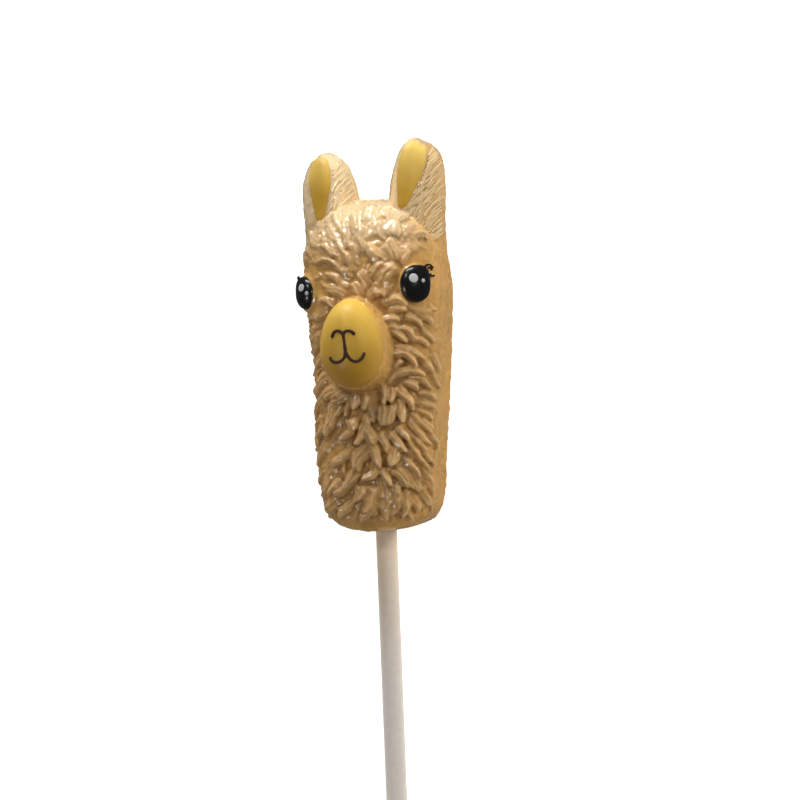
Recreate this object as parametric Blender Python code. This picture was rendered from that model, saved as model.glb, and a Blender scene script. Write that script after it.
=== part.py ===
"""Alpaca-head lollipop of cast candy on a paper stick, lying on its flat back with the face up.

Metres, +Z up. The origin is on the flat back, under the middle of the head. The ears point
along +Y, the stick along -Y, and the face looks up along +Z. Heights along the head (its
"up" when held) are given in millimetres from the foot of the candy, where the stick leaves.
"""

import math
import random

import bmesh
import bpy
from mathutils import Matrix, Vector

MM = 0.001

# Driving sizes, in millimetres
STICK_DIAMETER = 4.0
STICK_LENGTH = 150.0
STICK_IN_CANDY = 42.0
STICK_AXIS_Z = 6.4
STICK_OFF_CENTRE = 1.1
STICK_CHAMFER = 0.3
GAP = 0.3

HEAD_HEIGHT = 61.5
ORIGIN_HEIGHT = 31.0
SIDE_WALL = 6.5
SIDE_DRAFT = 0.5

# Head outline: (height, reach to the left, reach to the right, thickness) under the fleece
HEAD_OUTLINE = (
    (0.0, 4.6, 4.9, 11.6),
    (0.35, 6.5, 6.8, 12.5),
    (1.0, 8.3, 8.7, 13.3),
    (2.8, 10.2, 10.2, 14.1),
    (5.8, 11.1, 11.2, 14.5),
    (14.0, 11.5, 11.9, 14.8),
    (24.5, 11.6, 12.9, 15.0),
    (32.3, 11.7, 13.5, 15.6),
    (40.0, 12.1, 14.0, 16.2),
    (45.0, 12.6, 14.2, 16.2),
    (50.5, 12.8, 13.6, 15.4),
    (53.5, 12.0, 12.5, 14.5),
    (56.0, 10.4, 11.0, 13.3),
    (58.5, 8.0, 8.5, 11.6),
    (60.2, 5.6, 6.0, 9.8),
    (61.2, 3.4, 3.7, 8.0),
    (61.5, 1.5, 1.6, 6.6),
)

MUZZLE_HEIGHT = 35.8
MUZZLE_HALF_WIDTH = 5.9
MUZZLE_HALF_LENGTH = 8.25
MUZZLE_EGG = 0.11
SNOUT_RIM_Z = 19.8
SNOUT_FLARE = 0.8
SNOUT_CHIN = 0.5
MUZZLE_CAP_RISE = 4.6

# The painted lines of the mouth, as (across, up) from the muzzle's middle
MOUTH_RADIUS = 0.3
MOUTH_LINES = (
    ((-2.35, 1.35), (-1.95, 2.2), (-1.3, 2.6), (-0.55, 2.4), (-0.05, 2.0)),
    ((-0.05, 2.0), (0.4, 2.45), (1.0, 2.55), (1.65, 2.3), (2.1, 1.8)),
    ((-0.05, 2.0), (0.05, 1.0), (0.15, 0.0), (0.25, -1.2)),
    ((0.25, -1.2), (0.05, -2.2), (-0.7, -2.95), (-1.7, -3.15), (-2.5, -2.9), (-2.95, -2.2)),
    ((0.25, -1.2), (0.7, -2.1), (1.4, -2.85), (2.3, -3.05), (3.1, -2.5), (3.6, -1.5)),
)

EYE_HEIGHTS = {"left": 45.0, "right": 46.2}
EYE_ACROSS = {"left": 10.9, "right": 10.6}
EYE_HALF_WIDTH = 3.0
EYE_HALF_LENGTH = 3.5
EYE_HALF_DEPTH = 1.7
EYE_TILT = 40.0
EYE_BED_MARGIN = 0.6

EAR_TIP_HEIGHTS = {"left": 71.3, "right": 73.4}
EAR_FOOT = 50.0

# Ear outline: (distance below the tip, inner edge, outer edge, depth)
EAR_OUTLINE = (
    (0.0, 8.7, 10.9, 4.6),
    (0.5, 7.4, 11.5, 5.7),
    (1.5, 6.3, 12.2, 6.7),
    (3.0, 5.3, 12.8, 7.4),
    (5.0, 4.5, 13.3, 7.9),
    (7.5, 3.8, 13.5, 8.2),
    (11.0, 3.2, 13.5, 8.4),
    (15.0, 2.9, 13.3, 8.5),
    (24.0, 2.9, 13.4, 8.5),
)

# Ear section: (share of the width from the inner edge, share of the depth)
EAR_SECTION = (
    (0.0, 0.25),
    (0.04, 0.54),
    (0.12, 0.78),
    (0.22, 0.94),
    (0.34, 1.0),
    (0.48, 0.97),
    (0.62, 0.89),
    (0.76, 0.77),
    (0.88, 0.59),
    (0.96, 0.38),
    (1.0, 0.16),
)

# Ear lining: (distance below the tip, half width)
LINING_OUTLINE = (
    (0.5, 0.45),
    (1.0, 1.05),
    (1.9, 1.6),
    (3.2, 2.05),
    (5.0, 2.25),
    (7.0, 2.1),
    (9.0, 1.65),
    (11.0, 1.15),
    (13.5, 0.6),
)
LINING_MIDDLE = 0.52
LINING_FOOT_SHIFT = {"left": 0.8, "right": -1.3}
LINING_DEPTH = 1.3
LINING_SUNK = 0.12

FLEECE_SEED = 6
FLEECE_EDGE = 0.88
FLEECE_FOOT = 6.5

# Rows of fleece: (length of a lock, pitch across, spacing up)
FLEECE_NECK = (6.8, 2.9, 3.5)
FLEECE_BROW = (4.6, 2.5, 2.6)

LOCK_HALF_WIDTH = 1.55
LOCK_THICKNESS = 1.15
LOCK_SECTION = ((1.0, -0.35), (0.35, 1.0), (-0.45, 0.85), (-1.0, -0.35), (0.0, -1.0))

SIDES = {"left": -1.0, "right": 1.0}

# Colours as linear RGB
CREAM = (0.560, 0.345, 0.150)
YELLOW = (0.720, 0.430, 0.075)
BLACK = (0.004, 0.004, 0.005)
WHITE = (0.700, 0.700, 0.690)
BROWN = (0.035, 0.013, 0.006)
PAPER = (0.790, 0.740, 0.690)


def clear_scene():
    for obj in list(bpy.data.objects):
        bpy.data.objects.remove(obj, do_unlink=True)


def new_collection(name):
    collection = bpy.data.collections.new(name)
    bpy.context.scene.collection.children.link(collection)
    return collection


def make_material(name, colour, roughness):
    material = bpy.data.materials.new(name)
    material.use_nodes = True
    shader = material.node_tree.nodes["Principled BSDF"]
    shader.inputs["Base Color"].default_value = (*colour, 1.0)
    shader.inputs["Roughness"].default_value = roughness
    shader.inputs["Metallic"].default_value = 0.0
    return material


def add_object(name, mesh, collection, material):
    obj = bpy.data.objects.new(name, mesh)
    obj.data.materials.append(material)
    collection.objects.link(obj)
    return obj


def smooth_shade(obj, sharp_angle=50.0):
    obj.data.shade_smooth()
    obj.data.set_sharp_from_angle(angle=math.radians(sharp_angle))


def place(across, height, z):
    """A point of the head, in metres in the part's frame."""
    return Vector((across * MM, (height - ORIGIN_HEIGHT) * MM, z * MM))


def loft(name, rings, first_pole=None, last_pole=None):
    """A closed skin over rings of equal count. An end without a pole gets a flat face."""
    bm = bmesh.new()
    rows = [[bm.verts.new(point) for point in ring] for ring in rings]
    count = len(rows[0])
    for lower, upper in zip(rows, rows[1:]):
        for i in range(count):
            j = (i + 1) % count
            bm.faces.new((lower[i], lower[j], upper[j], upper[i]))
    for row, pole in ((rows[0], first_pole), (rows[-1], last_pole)):
        if pole is None:
            bm.faces.new(row)
            continue
        tip = bm.verts.new(pole)
        for i in range(count):
            bm.faces.new((row[i], row[(i + 1) % count], tip))
    bmesh.ops.recalc_face_normals(bm, faces=bm.faces)
    mesh = bpy.data.meshes.new(name)
    bm.to_mesh(mesh)
    bm.free()
    return mesh


def along(keys, height):
    """Smooth interpolation of the columns of keys at this height (cubic through the rows)."""
    rows = list(keys)
    height = min(max(height, rows[0][0]), rows[-1][0])
    index = max(i for i in range(len(rows) - 1) if rows[i][0] <= height or i == 0)
    low, high = rows[index], rows[index + 1]
    before, after = rows[max(index - 1, 0)], rows[min(index + 2, len(rows) - 1)]
    span = high[0] - low[0]
    share = (height - low[0]) / span
    values = []
    for column in range(1, len(low)):
        slope_low = (high[column] - before[column]) / (high[0] - before[0]) * span
        slope_high = (after[column] - low[column]) / (after[0] - low[0]) * span
        a, b = low[column], high[column]
        values.append(
            (2 * share**3 - 3 * share**2 + 1) * a
            + (share**3 - 2 * share**2 + share) * slope_low
            + (3 * share**2 - 2 * share**3) * b
            + (share**3 - share**2) * slope_high
        )
    return values


def front_point(height, turn):
    """The head's front, in millimetres: turn runs from -1 at the left wall to 1 at the right."""
    left, right, thickness = along(HEAD_OUTLINE, height)
    wall = min(SIDE_WALL, 0.5 * thickness)
    angle = 0.5 * math.pi * turn
    across = 0.5 * (right - left) + (0.5 * (left + right) - SIDE_DRAFT) * math.sin(angle)
    rise = (thickness - wall) * max(math.cos(angle), 0.0) ** 0.9
    return Vector((across, height, wall + rise))


def front_turn(height, across):
    """The turn at which the front lies this far across."""
    left, right, _ = along(HEAD_OUTLINE, height)
    share = (across - 0.5 * (right - left)) / (0.5 * (left + right) - SIDE_DRAFT)
    return math.asin(min(max(share, -1.0), 1.0)) / (0.5 * math.pi)


def front_frame(height, turn):
    """The front's point, its unit directions to the right and up, and its outward normal."""
    step = 0.02
    point = front_point(height, turn)
    right = (front_point(height, turn + step) - front_point(height, turn - step)).normalized()
    up = front_point(height + 0.5, turn) - front_point(height - 0.5, turn)
    up = (up - up.dot(right) * right).normalized()
    return point, right, up, right.cross(up)


def head_core():
    """The smooth candy under the fleece: a D section with a flat back, lofted up the head."""
    around = 16
    heights = [0.0, 0.35, 1.0, 2.0, 3.6, 6.0] + [10.0 + 5.0 * i for i in range(8)]
    heights += [48.5, 51.5, 54.0, 56.3, 58.2, 59.6, 60.7, 61.5]
    rings = []
    for height in heights:
        left, right, _ = along(HEAD_OUTLINE, height)
        ring = [place(-left, height, 0.0)]
        for i in range(around + 1):
            point = front_point(height, -1.0 + 2.0 * i / around)
            ring.append(place(*point))
        ring.append(place(right, height, 0.0))
        rings.append(ring)
    return loft("head_core", rings)


def egg(angle, grow=0.0):
    """The muzzle's outline, narrower at its top: an ellipse whose width changes up the egg."""
    across = (MUZZLE_HALF_WIDTH + grow) * math.cos(angle)
    up = (MUZZLE_HALF_LENGTH + grow) * math.sin(angle)
    return across * (1.0 - MUZZLE_EGG * math.sin(angle)), up


def egg_ring(z, grow, count=24):
    ring = []
    for i in range(count):
        across, up = egg(2.0 * math.pi * i / count, grow)
        ring.append(place(across, MUZZLE_HEIGHT + up, z))
    return ring


def snout():
    """The smooth cream neck of the muzzle, which flares out, most at the chin, as it sinks in."""
    rings = []
    for z, flare in ((8.0, 1.0), (14.5, 1.0), (16.6, 0.6), (18.4, 0.25), (SNOUT_RIM_Z - GAP, 0.0)):
        lower = Vector((0.0, -SNOUT_CHIN * flare * MM, 0.0))
        ring = egg_ring(z, 0.1 + SNOUT_FLARE * flare)
        rings.append([point + lower for point in ring])
    return loft("snout", rings)


def muzzle_cap(grow=0.0):
    """The yellow dome on the snout, as a stack of shrinking egg outlines."""
    levels = 6
    rings = []
    for i in range(levels):
        angle = 0.5 * math.pi * i / levels
        shrink = -MUZZLE_HALF_WIDTH * (1.0 - math.cos(angle))
        rise = (MUZZLE_CAP_RISE + grow) * math.sin(angle)
        rings.append(egg_ring(SNOUT_RIM_Z - grow + rise, shrink + grow))
    top = place(0.0, MUZZLE_HEIGHT, SNOUT_RIM_Z + MUZZLE_CAP_RISE)
    return loft("muzzle_cap", rings, last_pole=top)


def muzzle_surface(across, up):
    """Height of the yellow dome over a point near its middle, in millimetres."""
    share = min(math.hypot(across / MUZZLE_HALF_WIDTH, up / MUZZLE_HALF_LENGTH), 1.0)
    return SNOUT_RIM_Z + MUZZLE_CAP_RISE * math.sqrt(1.0 - share * share)


def stroke(name, points, radius, collection, material):
    """A piped line through points given in metres: a bevelled curve, made a mesh."""
    curve = bpy.data.curves.new(name, "CURVE")
    curve.dimensions = "3D"
    curve.bevel_depth = radius * MM
    curve.bevel_resolution = 1
    curve.use_fill_caps = True
    spline = curve.splines.new("POLY")
    spline.points.add(len(points) - 1)
    for i, point in enumerate(points):
        spline.points[i].co = (*point, 1.0)
        spline.points[i].radius = 0.7 + 0.3 * math.sin(math.pi * i / (len(points) - 1))
    guide = bpy.data.objects.new(name + "_guide", curve)
    collection.objects.link(guide)
    bpy.context.view_layer.update()
    evaluated = guide.evaluated_get(bpy.context.evaluated_depsgraph_get())
    mesh = bpy.data.meshes.new_from_object(evaluated)
    bpy.data.objects.remove(guide, do_unlink=True)
    bm = bmesh.new()
    bm.from_mesh(mesh)
    bmesh.ops.remove_doubles(bm, verts=bm.verts, dist=0.00001)
    bmesh.ops.recalc_face_normals(bm, faces=bm.faces)
    bm.to_mesh(mesh)
    bm.free()
    mesh.materials.clear()
    return add_object(name, mesh, collection, material)


def mouth_strokes(collection, material):
    """Two nostril hooks that run into one line, and the smile's two arcs below it."""
    made = []
    for i, line in enumerate(MOUTH_LINES):
        points = []
        for across, up in line:
            points.append(place(across, MUZZLE_HEIGHT + up, muzzle_surface(across, up)))
        made.append(stroke(f"mouth_stroke_{i}", points, MOUTH_RADIUS, collection, material))
    return made


def eye_matrix(name):
    """Places an eye's own frame on the head: its z axis looks out of the head."""
    side, height = SIDES[name], EYE_HEIGHTS[name]
    tilt = Matrix.Rotation(math.radians(EYE_TILT) * side, 4, "Y")
    point = front_point(height, front_turn(height, side * EYE_ACROSS[name]))
    return Matrix.Translation(place(*point)) @ tilt


def ellipsoid(name, radii, matrix, segments=14, rings=8):
    bm = bmesh.new()
    bmesh.ops.create_uvsphere(bm, u_segments=segments, v_segments=rings, radius=MM)
    bmesh.ops.scale(bm, vec=Vector(radii), verts=bm.verts)
    bmesh.ops.transform(bm, matrix=matrix, verts=bm.verts)
    mesh = bpy.data.meshes.new(name)
    bm.to_mesh(mesh)
    bm.free()
    return mesh


def eye_ball(name, grow=0.0):
    radii = (EYE_HALF_WIDTH + grow, EYE_HALF_LENGTH + grow, EYE_HALF_DEPTH + grow)
    lift = Matrix.Translation((0.0, 0.0, 0.55 * MM))
    return ellipsoid("eye", radii, eye_matrix(name) @ lift)


def eye_bed(name):
    """The smooth lid that the fleece leaves free round an eye."""
    radii = (EYE_HALF_WIDTH + EYE_BED_MARGIN, EYE_HALF_LENGTH + EYE_BED_MARGIN, 1.5)
    return ellipsoid("eye_bed", radii, eye_matrix(name))


def eye_glints(name, collection, material):
    """The two painted lights on an eye, as low caps."""
    made = []
    for i, (across, up, radius) in enumerate(((-1.1, 1.5, 1.0), (1.35, 0.5, 0.5))):
        share = (across / EYE_HALF_WIDTH) ** 2 + (up / EYE_HALF_LENGTH) ** 2
        z = 0.55 + EYE_HALF_DEPTH * math.sqrt(1.0 - share)
        spot = Matrix.Translation(Vector((across, up, z)) * MM)
        mesh = ellipsoid("glint", (radius, radius, 0.28), eye_matrix(name) @ spot, 10, 6)
        made.append(add_object(f"glint_{i}", mesh, collection, material))
    return made


def lashes(name, collection, material):
    """Two short painted lashes at the outer corner of an eye."""
    side = SIDES[name]
    made = []
    for i, (start, end) in enumerate((((2.5, 2.4), (4.4, 3.3)), ((2.9, 1.5), (4.7, 1.6)))):
        points = []
        for share in (0.0, 0.5, 1.0):
            across = side * (start[0] + (end[0] - start[0]) * share)
            up = start[1] + (end[1] - start[1]) * share
            z = 0.75 - 1.2 * share
            points.append(eye_matrix(name) @ (Vector((across, up, z)) * MM))
        made.append(stroke(f"lash_{i}", points, 0.24, collection, material))
    return made


def ear_point(name, below_tip, share, lift=0.0):
    """A point of an ear's front: share runs from its inner edge to its outer edge."""
    inner, outer, depth = along(EAR_OUTLINE, below_tip)
    across = inner + (outer - inner) * share
    z = depth * along(EAR_SECTION, share)[0] + lift
    return place(SIDES[name] * across, EAR_TIP_HEIGHTS[name] - below_tip, z)


def ear(name):
    """A thick pointed leaf with a flat back; its front leans outward."""
    length = EAR_TIP_HEIGHTS[name] - EAR_FOOT
    levels = [0.0, 0.4, 1.0, 2.0, 3.4, 5.2, 7.5, 10.5, 14.0, length]
    rings = []
    for below_tip in levels:
        inner, outer, _ = along(EAR_OUTLINE, below_tip)
        height = EAR_TIP_HEIGHTS[name] - below_tip
        ring = [place(SIDES[name] * inner, height, 0.0)]
        ring += [ear_point(name, below_tip, share) for share, _ in EAR_SECTION]
        ring.append(place(SIDES[name] * outer, height, 0.0))
        rings.append(ring)
    return loft(f"ear_{name}", rings)


def ear_lining(name, grow=0.0):
    """The yellow strip set flush into the ear's front, widest near the tip."""
    steps, columns = 11, 5
    first, last = LINING_OUTLINE[0][0], LINING_OUTLINE[-1][0]
    rings = []
    for i in range(steps + 1):
        share = i / steps
        below_tip = first - grow + (last - first + 2.0 * grow) * share
        inner, outer, _ = along(EAR_OUTLINE, below_tip)
        half = (along(LINING_OUTLINE, below_tip)[0] + grow) / (outer - inner)
        middle = LINING_MIDDLE + LINING_FOOT_SHIFT[name] * share**2 / (outer - inner)
        shares = [middle + half * (2.0 * j / (columns - 1) - 1.0) for j in range(columns)]
        top = 1.5 if grow else -LINING_SUNK
        ring = [ear_point(name, below_tip, value, top) for value in shares]
        floor = -LINING_DEPTH - grow
        ring += [ear_point(name, below_tip, value, floor) for value in reversed(shares)]
        rings.append(ring)
    return loft(f"ear_lining_{name}", rings)


def comb_direction(across, height):
    """Which way the fleece lies on the front, as (right, up): out from the muzzle, then down."""
    rise = height - MUZZLE_HEIGHT
    out = across / max(math.hypot(across, rise), 0.1)
    if rise > 6.0:
        lift = 0.95 - 1.3 * abs(across) / 13.0 + 0.08 * max(height - 55.0, 0.0)
        return Vector((0.9 * math.copysign(1.0, across), lift)).normalized()
    droop = min(max((6.0 - rise) / 12.0, 0.0), 1.0)
    sideways = out * (1.0 - droop) + 0.045 * across * droop
    return Vector((sideways, -0.25 * (1.0 - droop) - droop)).normalized()


def clear_of_face(across, height, z):
    """False where a lock would lie on the muzzle or an eye."""
    rise = height - MUZZLE_HEIGHT
    grow = 0.4
    egg_share = math.hypot(across / (MUZZLE_HALF_WIDTH + grow), rise / (MUZZLE_HALF_LENGTH + grow))
    if egg_share < 1.0:
        return False
    point = place(across, height, z)
    for name in SIDES:
        local = eye_matrix(name).inverted() @ point / MM
        reach = EYE_BED_MARGIN
        across_share = local.x / (EYE_HALF_WIDTH + reach)
        if math.hypot(across_share, local.y / (EYE_HALF_LENGTH + reach)) < 1.0 and local.z > -4.0:
            return False
    return True


def fleece_plan():
    """Where each lock lies, how it is turned and how large it is, from the foot upward."""
    draw = random.Random(FLEECE_SEED)
    plan = []
    height = FLEECE_FOOT
    row = 0
    while height < HEAD_HEIGHT - 0.4:
        length, pitch, spacing = FLEECE_NECK if height < MUZZLE_HEIGHT - 5.0 else FLEECE_BROW
        left, right, _ = along(HEAD_OUTLINE, height)
        count = max(int(round(1.25 * (left + right) * FLEECE_EDGE / pitch)), 2)
        for i in range(count):
            turn = FLEECE_EDGE * (-1.0 + 2.0 * (i + 0.5 * (row % 2) + 0.25) / count)
            turn += draw.uniform(-0.4, 0.4) / count
            at_height = max(height + draw.uniform(-0.3, 0.3) * spacing, FLEECE_FOOT)
            size = draw.uniform(0.85, 1.2)
            twist = draw.uniform(-0.45, 0.45)
            curl = draw.uniform(-1.2, 1.2)
            if abs(turn) > FLEECE_EDGE:
                continue
            size *= 1.0 - 0.38 * (abs(turn) / FLEECE_EDGE) ** 2
            plan.append((at_height, turn, length * size, size, twist, curl))
        slope = along(HEAD_OUTLINE, height + 1.0)[2] - along(HEAD_OUTLINE, height)[2]
        height += spacing / math.hypot(1.0, slope)
        row += 1
    return plan


def lock_line(height, turn, length, size, twist, curl, steps=4):
    """The bent middle line of a lock, as (share, point, sideways, normal) from root to tip."""
    point, right, up, normal = front_frame(height, turn)
    comb = comb_direction(point.x, height)
    forward = (right * comb.x + up * comb.y).normalized()
    forward = Matrix.Rotation(twist, 3, normal) @ forward
    sideways = normal.cross(forward)
    line = []
    for i in range(steps + 2):
        share = i / (steps + 1)
        centre = point + forward * length * (share - 0.5)
        centre += sideways * curl * (1.6 * share - 0.6) * share
        centre += normal * (1.0 * share**1.3 - 0.25) * size
        line.append((share, centre, sideways, normal))
    return line


def lock_mesh(line, size):
    """One tapered, ridged lock of fleece: its root is sunk in the head, its tip stands clear."""
    rings = []
    for share, centre, sideways, normal in line[1:-1]:
        swell = math.sin(math.pi * share**0.85) ** 0.8
        half, thick = LOCK_HALF_WIDTH * size * swell, LOCK_THICKNESS * size * swell
        ring = []
        for across, rise in LOCK_SECTION:
            ring.append(place(*(centre + sideways * half * across + normal * thick * rise)))
        rings.append(ring)
    return loft("lock", rings, first_pole=place(*line[0][1]), last_pole=place(*line[-1][1]))


def fleece(collection, material):
    """Every lock that lies clear of the muzzle, the eyes and the smooth foot."""
    made = []
    for height, turn, length, size, twist, curl in fleece_plan():
        line = lock_line(height, turn, length, size, twist, curl)
        if all(clear_of_face(*centre) for _, centre, _, _ in line[1:]):
            mesh = lock_mesh(line, size)
            made.append(add_object(f"lock_{len(made)}", mesh, collection, material))
    return made


def fuse(obj, collection, name):
    """Joins a collection's shapes to obj for good, keeping their materials, and empties it."""
    modifier = obj.modifiers.new(name, "BOOLEAN")
    modifier.operation = "UNION"
    modifier.operand_type = "COLLECTION"
    modifier.collection = collection
    modifier.solver = "EXACT"
    modifier.material_mode = "TRANSFER"
    bpy.context.view_layer.update()
    bpy.context.view_layer.objects.active = obj
    bpy.ops.object.modifier_apply(modifier=name)
    for other in list(collection.objects):
        bpy.data.objects.remove(other, do_unlink=True)
    bpy.data.collections.remove(collection)


def cut(obj, cutter, name):
    modifier = obj.modifiers.new(name, "BOOLEAN")
    modifier.operation = "DIFFERENCE"
    modifier.object = cutter
    modifier.solver = "EXACT"


def add_cutter(name, mesh, collection, material):
    cutter = add_object(name, mesh, collection, material)
    cutter.hide_render = True
    cutter.display_type = "WIRE"
    return cutter


def cylinder(name, radius, low, high, chamfer=0.0):
    """A cylinder along the stick, between two heights, in millimetres."""
    bm = bmesh.new()
    bmesh.ops.create_cone(
        bm, cap_ends=True, segments=28, radius1=radius * MM, radius2=radius * MM,
        depth=(high - low) * MM,
    )
    if chamfer:
        ends = [e for e in bm.edges if abs(e.verts[0].co.z - e.verts[1].co.z) < 1e-9]
        bmesh.ops.bevel(bm, geom=ends, offset=chamfer * MM, segments=2, affect="EDGES")
    turn = Matrix.Rotation(math.radians(-90.0), 4, "X")
    move = Matrix.Translation(place(STICK_OFF_CENTRE, 0.5 * (low + high), STICK_AXIS_Z))
    bmesh.ops.transform(bm, matrix=move @ turn, verts=bm.verts)
    mesh = bpy.data.meshes.new(name)
    bm.to_mesh(mesh)
    bm.free()
    return mesh


def build():
    clear_scene()
    parts = new_collection("alpaca_lollipop")
    cutters = new_collection("cutters")
    cream = make_material("cream_candy", CREAM, 0.3)
    yellow = make_material("yellow_candy", YELLOW, 0.35)
    black = make_material("black_candy", BLACK, 0.1)
    white = make_material("white_paint", WHITE, 0.35)
    brown = make_material("brown_line", BROWN, 0.4)
    paper = make_material("paper_stick", PAPER, 0.6)

    relief = new_collection("relief")
    add_object("snout", snout(), relief, cream)
    for name in SIDES:
        add_object(f"ear_{name}", ear(name), relief, cream)
        add_object(f"eye_bed_{name}", eye_bed(name), relief, cream)
        lashes(name, relief, black)
    fleece(relief, cream)
    head = add_object("candy_head", head_core(), parts, cream)
    fuse(head, relief, "fleece_and_features")

    muzzle = add_object("muzzle", muzzle_cap(), parts, yellow)
    lines = new_collection("mouth")
    mouth_strokes(lines, brown)
    fuse(muzzle, lines, "mouth")

    cut(head, add_cutter("muzzle_room", muzzle_cap(GAP), cutters, cream), "muzzle_room")
    for name in SIDES:
        room = add_cutter(f"eye_room_{name}", eye_ball(name, GAP), cutters, cream)
        cut(head, room, f"eye_room_{name}")
        room = add_cutter(f"lining_room_{name}", ear_lining(name, GAP), cutters, cream)
        cut(head, room, f"lining_room_{name}")
        add_object(f"ear_lining_{name}", ear_lining(name), parts, yellow)
        eye = add_object(f"eye_{name}", eye_ball(name), parts, black)
        lights = new_collection("glints")
        eye_glints(name, lights, white)
        fuse(eye, lights, "glints")

    radius = 0.5 * STICK_DIAMETER
    bore = cylinder("stick_room", radius + GAP, -2.0, STICK_IN_CANDY + GAP)
    cut(head, add_cutter("stick_room", bore, cutters, cream), "stick_room")
    shaft = cylinder("stick", radius, STICK_IN_CANDY - STICK_LENGTH, STICK_IN_CANDY, STICK_CHAMFER)
    add_object("stick", shaft, parts, paper)
    for obj in parts.objects:
        smooth_shade(obj)


build()
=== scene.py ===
"""Alpaca-head lollipop: moulded cream candy with woolly fleece, yellow muzzle and ear linings,
glossy black eyes and a paper stick, lying on its flat back on a white table.

Heights along the head are in millimetres from the candy's foot, "across" is to the right of its
middle as the face is looked at, and +Z points out of the face. The frame is in metres.
"""

import math
import random

import bpy
import numpy as np
from bpy.props import FloatProperty, FloatVectorProperty, IntProperty, PointerProperty
from bpy.types import Operator, Panel, PropertyGroup
from mathutils import Matrix, Vector
from mathutils.bvhtree import BVHTree


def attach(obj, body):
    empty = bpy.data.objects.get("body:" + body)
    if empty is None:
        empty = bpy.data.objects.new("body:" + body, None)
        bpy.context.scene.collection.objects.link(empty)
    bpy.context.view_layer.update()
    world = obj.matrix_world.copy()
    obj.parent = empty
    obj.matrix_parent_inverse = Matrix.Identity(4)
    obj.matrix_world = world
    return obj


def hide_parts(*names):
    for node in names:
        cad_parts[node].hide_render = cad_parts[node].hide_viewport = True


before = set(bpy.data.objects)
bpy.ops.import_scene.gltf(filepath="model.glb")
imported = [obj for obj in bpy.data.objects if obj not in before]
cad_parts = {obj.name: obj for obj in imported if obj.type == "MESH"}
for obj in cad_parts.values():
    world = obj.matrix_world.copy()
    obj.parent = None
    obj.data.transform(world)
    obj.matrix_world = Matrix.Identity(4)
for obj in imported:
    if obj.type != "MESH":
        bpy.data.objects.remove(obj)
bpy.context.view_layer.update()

bl_info = {
    "name": "Alpaca lollipop",
    "version": (1, 0, 0),
    "blender": (4, 5, 0),
    "location": "View3D > Sidebar > Lollipop",
    "description": "Builds a moulded alpaca-head lollipop and its table",
    "category": "Object",
}

MM = 0.001
ORIGIN_HEIGHT = 31.0
SIDES = {"left": -1.0, "right": 1.0}

# Head outline: (height, reach to the left, reach to the right, thickness) under the fleece
HEAD_OUTLINE = (
    (0.0, 4.6, 4.9, 11.6), (0.35, 6.5, 6.8, 12.5), (1.0, 8.3, 8.7, 13.3), (2.8, 10.2, 10.2, 14.1),
    (5.8, 11.1, 11.2, 14.5), (14.0, 11.5, 11.9, 14.8), (24.5, 11.6, 12.9, 15.0),
    (32.3, 11.7, 13.5, 15.6), (40.0, 12.1, 14.0, 16.2), (45.0, 12.6, 14.2, 16.2),
    (50.5, 12.8, 13.6, 15.4), (53.5, 12.5, 12.8, 14.9), (56.0, 11.4, 11.6, 14.0),
    (58.5, 9.4, 9.4, 12.4), (60.2, 7.0, 7.1, 10.6), (61.3, 4.8, 4.9, 8.9), (62.0, 2.2, 2.3, 7.2),
)
HEAD_HEIGHT = 62.0
SIDE_WALL = 6.5
SIDE_DRAFT = 0.5

MUZZLE_HEIGHT = 35.8
MUZZLE_HALF_WIDTH = 5.9
MUZZLE_HALF_LENGTH = 8.25
MUZZLE_EGG = 0.11
SNOUT_RIM_Z = 19.8
SNOUT_FLARE = 0.8
SNOUT_CHIN = 0.5
SNOUT_RINGS = ((8.0, 1.0), (14.5, 1.0), (16.6, 0.6), (18.4, 0.25), (19.75, 0.0))
MUZZLE_CAP_RISE = 4.6

# The painted lines of the mouth, as (across, up) from the muzzle's middle
MOUTH_LINES = (
    ((-2.35, 1.35), (-1.95, 2.2), (-1.3, 2.6), (-0.55, 2.4), (-0.05, 2.0)),
    ((-0.05, 2.0), (0.4, 2.45), (1.0, 2.55), (1.65, 2.3), (2.1, 1.8)),
    ((-0.05, 2.0), (0.05, 1.0), (0.15, 0.0), (0.25, -1.2)),
    ((0.25, -1.2), (0.05, -2.2), (-0.7, -2.95), (-1.7, -3.15), (-2.5, -2.9), (-2.95, -2.2)),
    ((0.25, -1.2), (0.7, -2.1), (1.4, -2.85), (2.3, -3.05), (3.1, -2.5), (3.6, -1.5)),
)

EYE_HEIGHTS = {"left": 45.0, "right": 46.2}
EYE_ACROSS = {"left": 10.9, "right": 10.4}
EYE_RADII = (3.0, 3.5, 1.7)
EYE_SIZES = {"left": (0.9, 0.89), "right": (1.0, 1.0)}
EYE_BED_RADII = (3.25, 3.75, 1.3)
EYE_LIFT = 0.55
EYE_TILT = 40.0
# The painted lights, as (across, up, radius) from the eye's middle
GLINTS = {
    "left": ((0.75, 1.1, 0.74), (2.0, 0.05, 0.38)),
    "right": ((-0.95, 1.15, 0.85), (0.95, 0.6, 0.38)),
}
# The painted lashes, as (outward, up) from the eye's middle
LASHES = (
    ((1.9, 3.15), (2.6, 3.4), (3.4, 3.35), (4.2, 2.75)),
    ((2.8, 2.9), (3.3, 2.85), (3.9, 2.4)),
    ((3.2, 1.75), (3.8, 1.25), (4.5, 1.35)),
)

EAR_TIP_HEIGHTS = {"left": 71.3, "right": 73.4}
EAR_FOOT = 50.0

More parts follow.
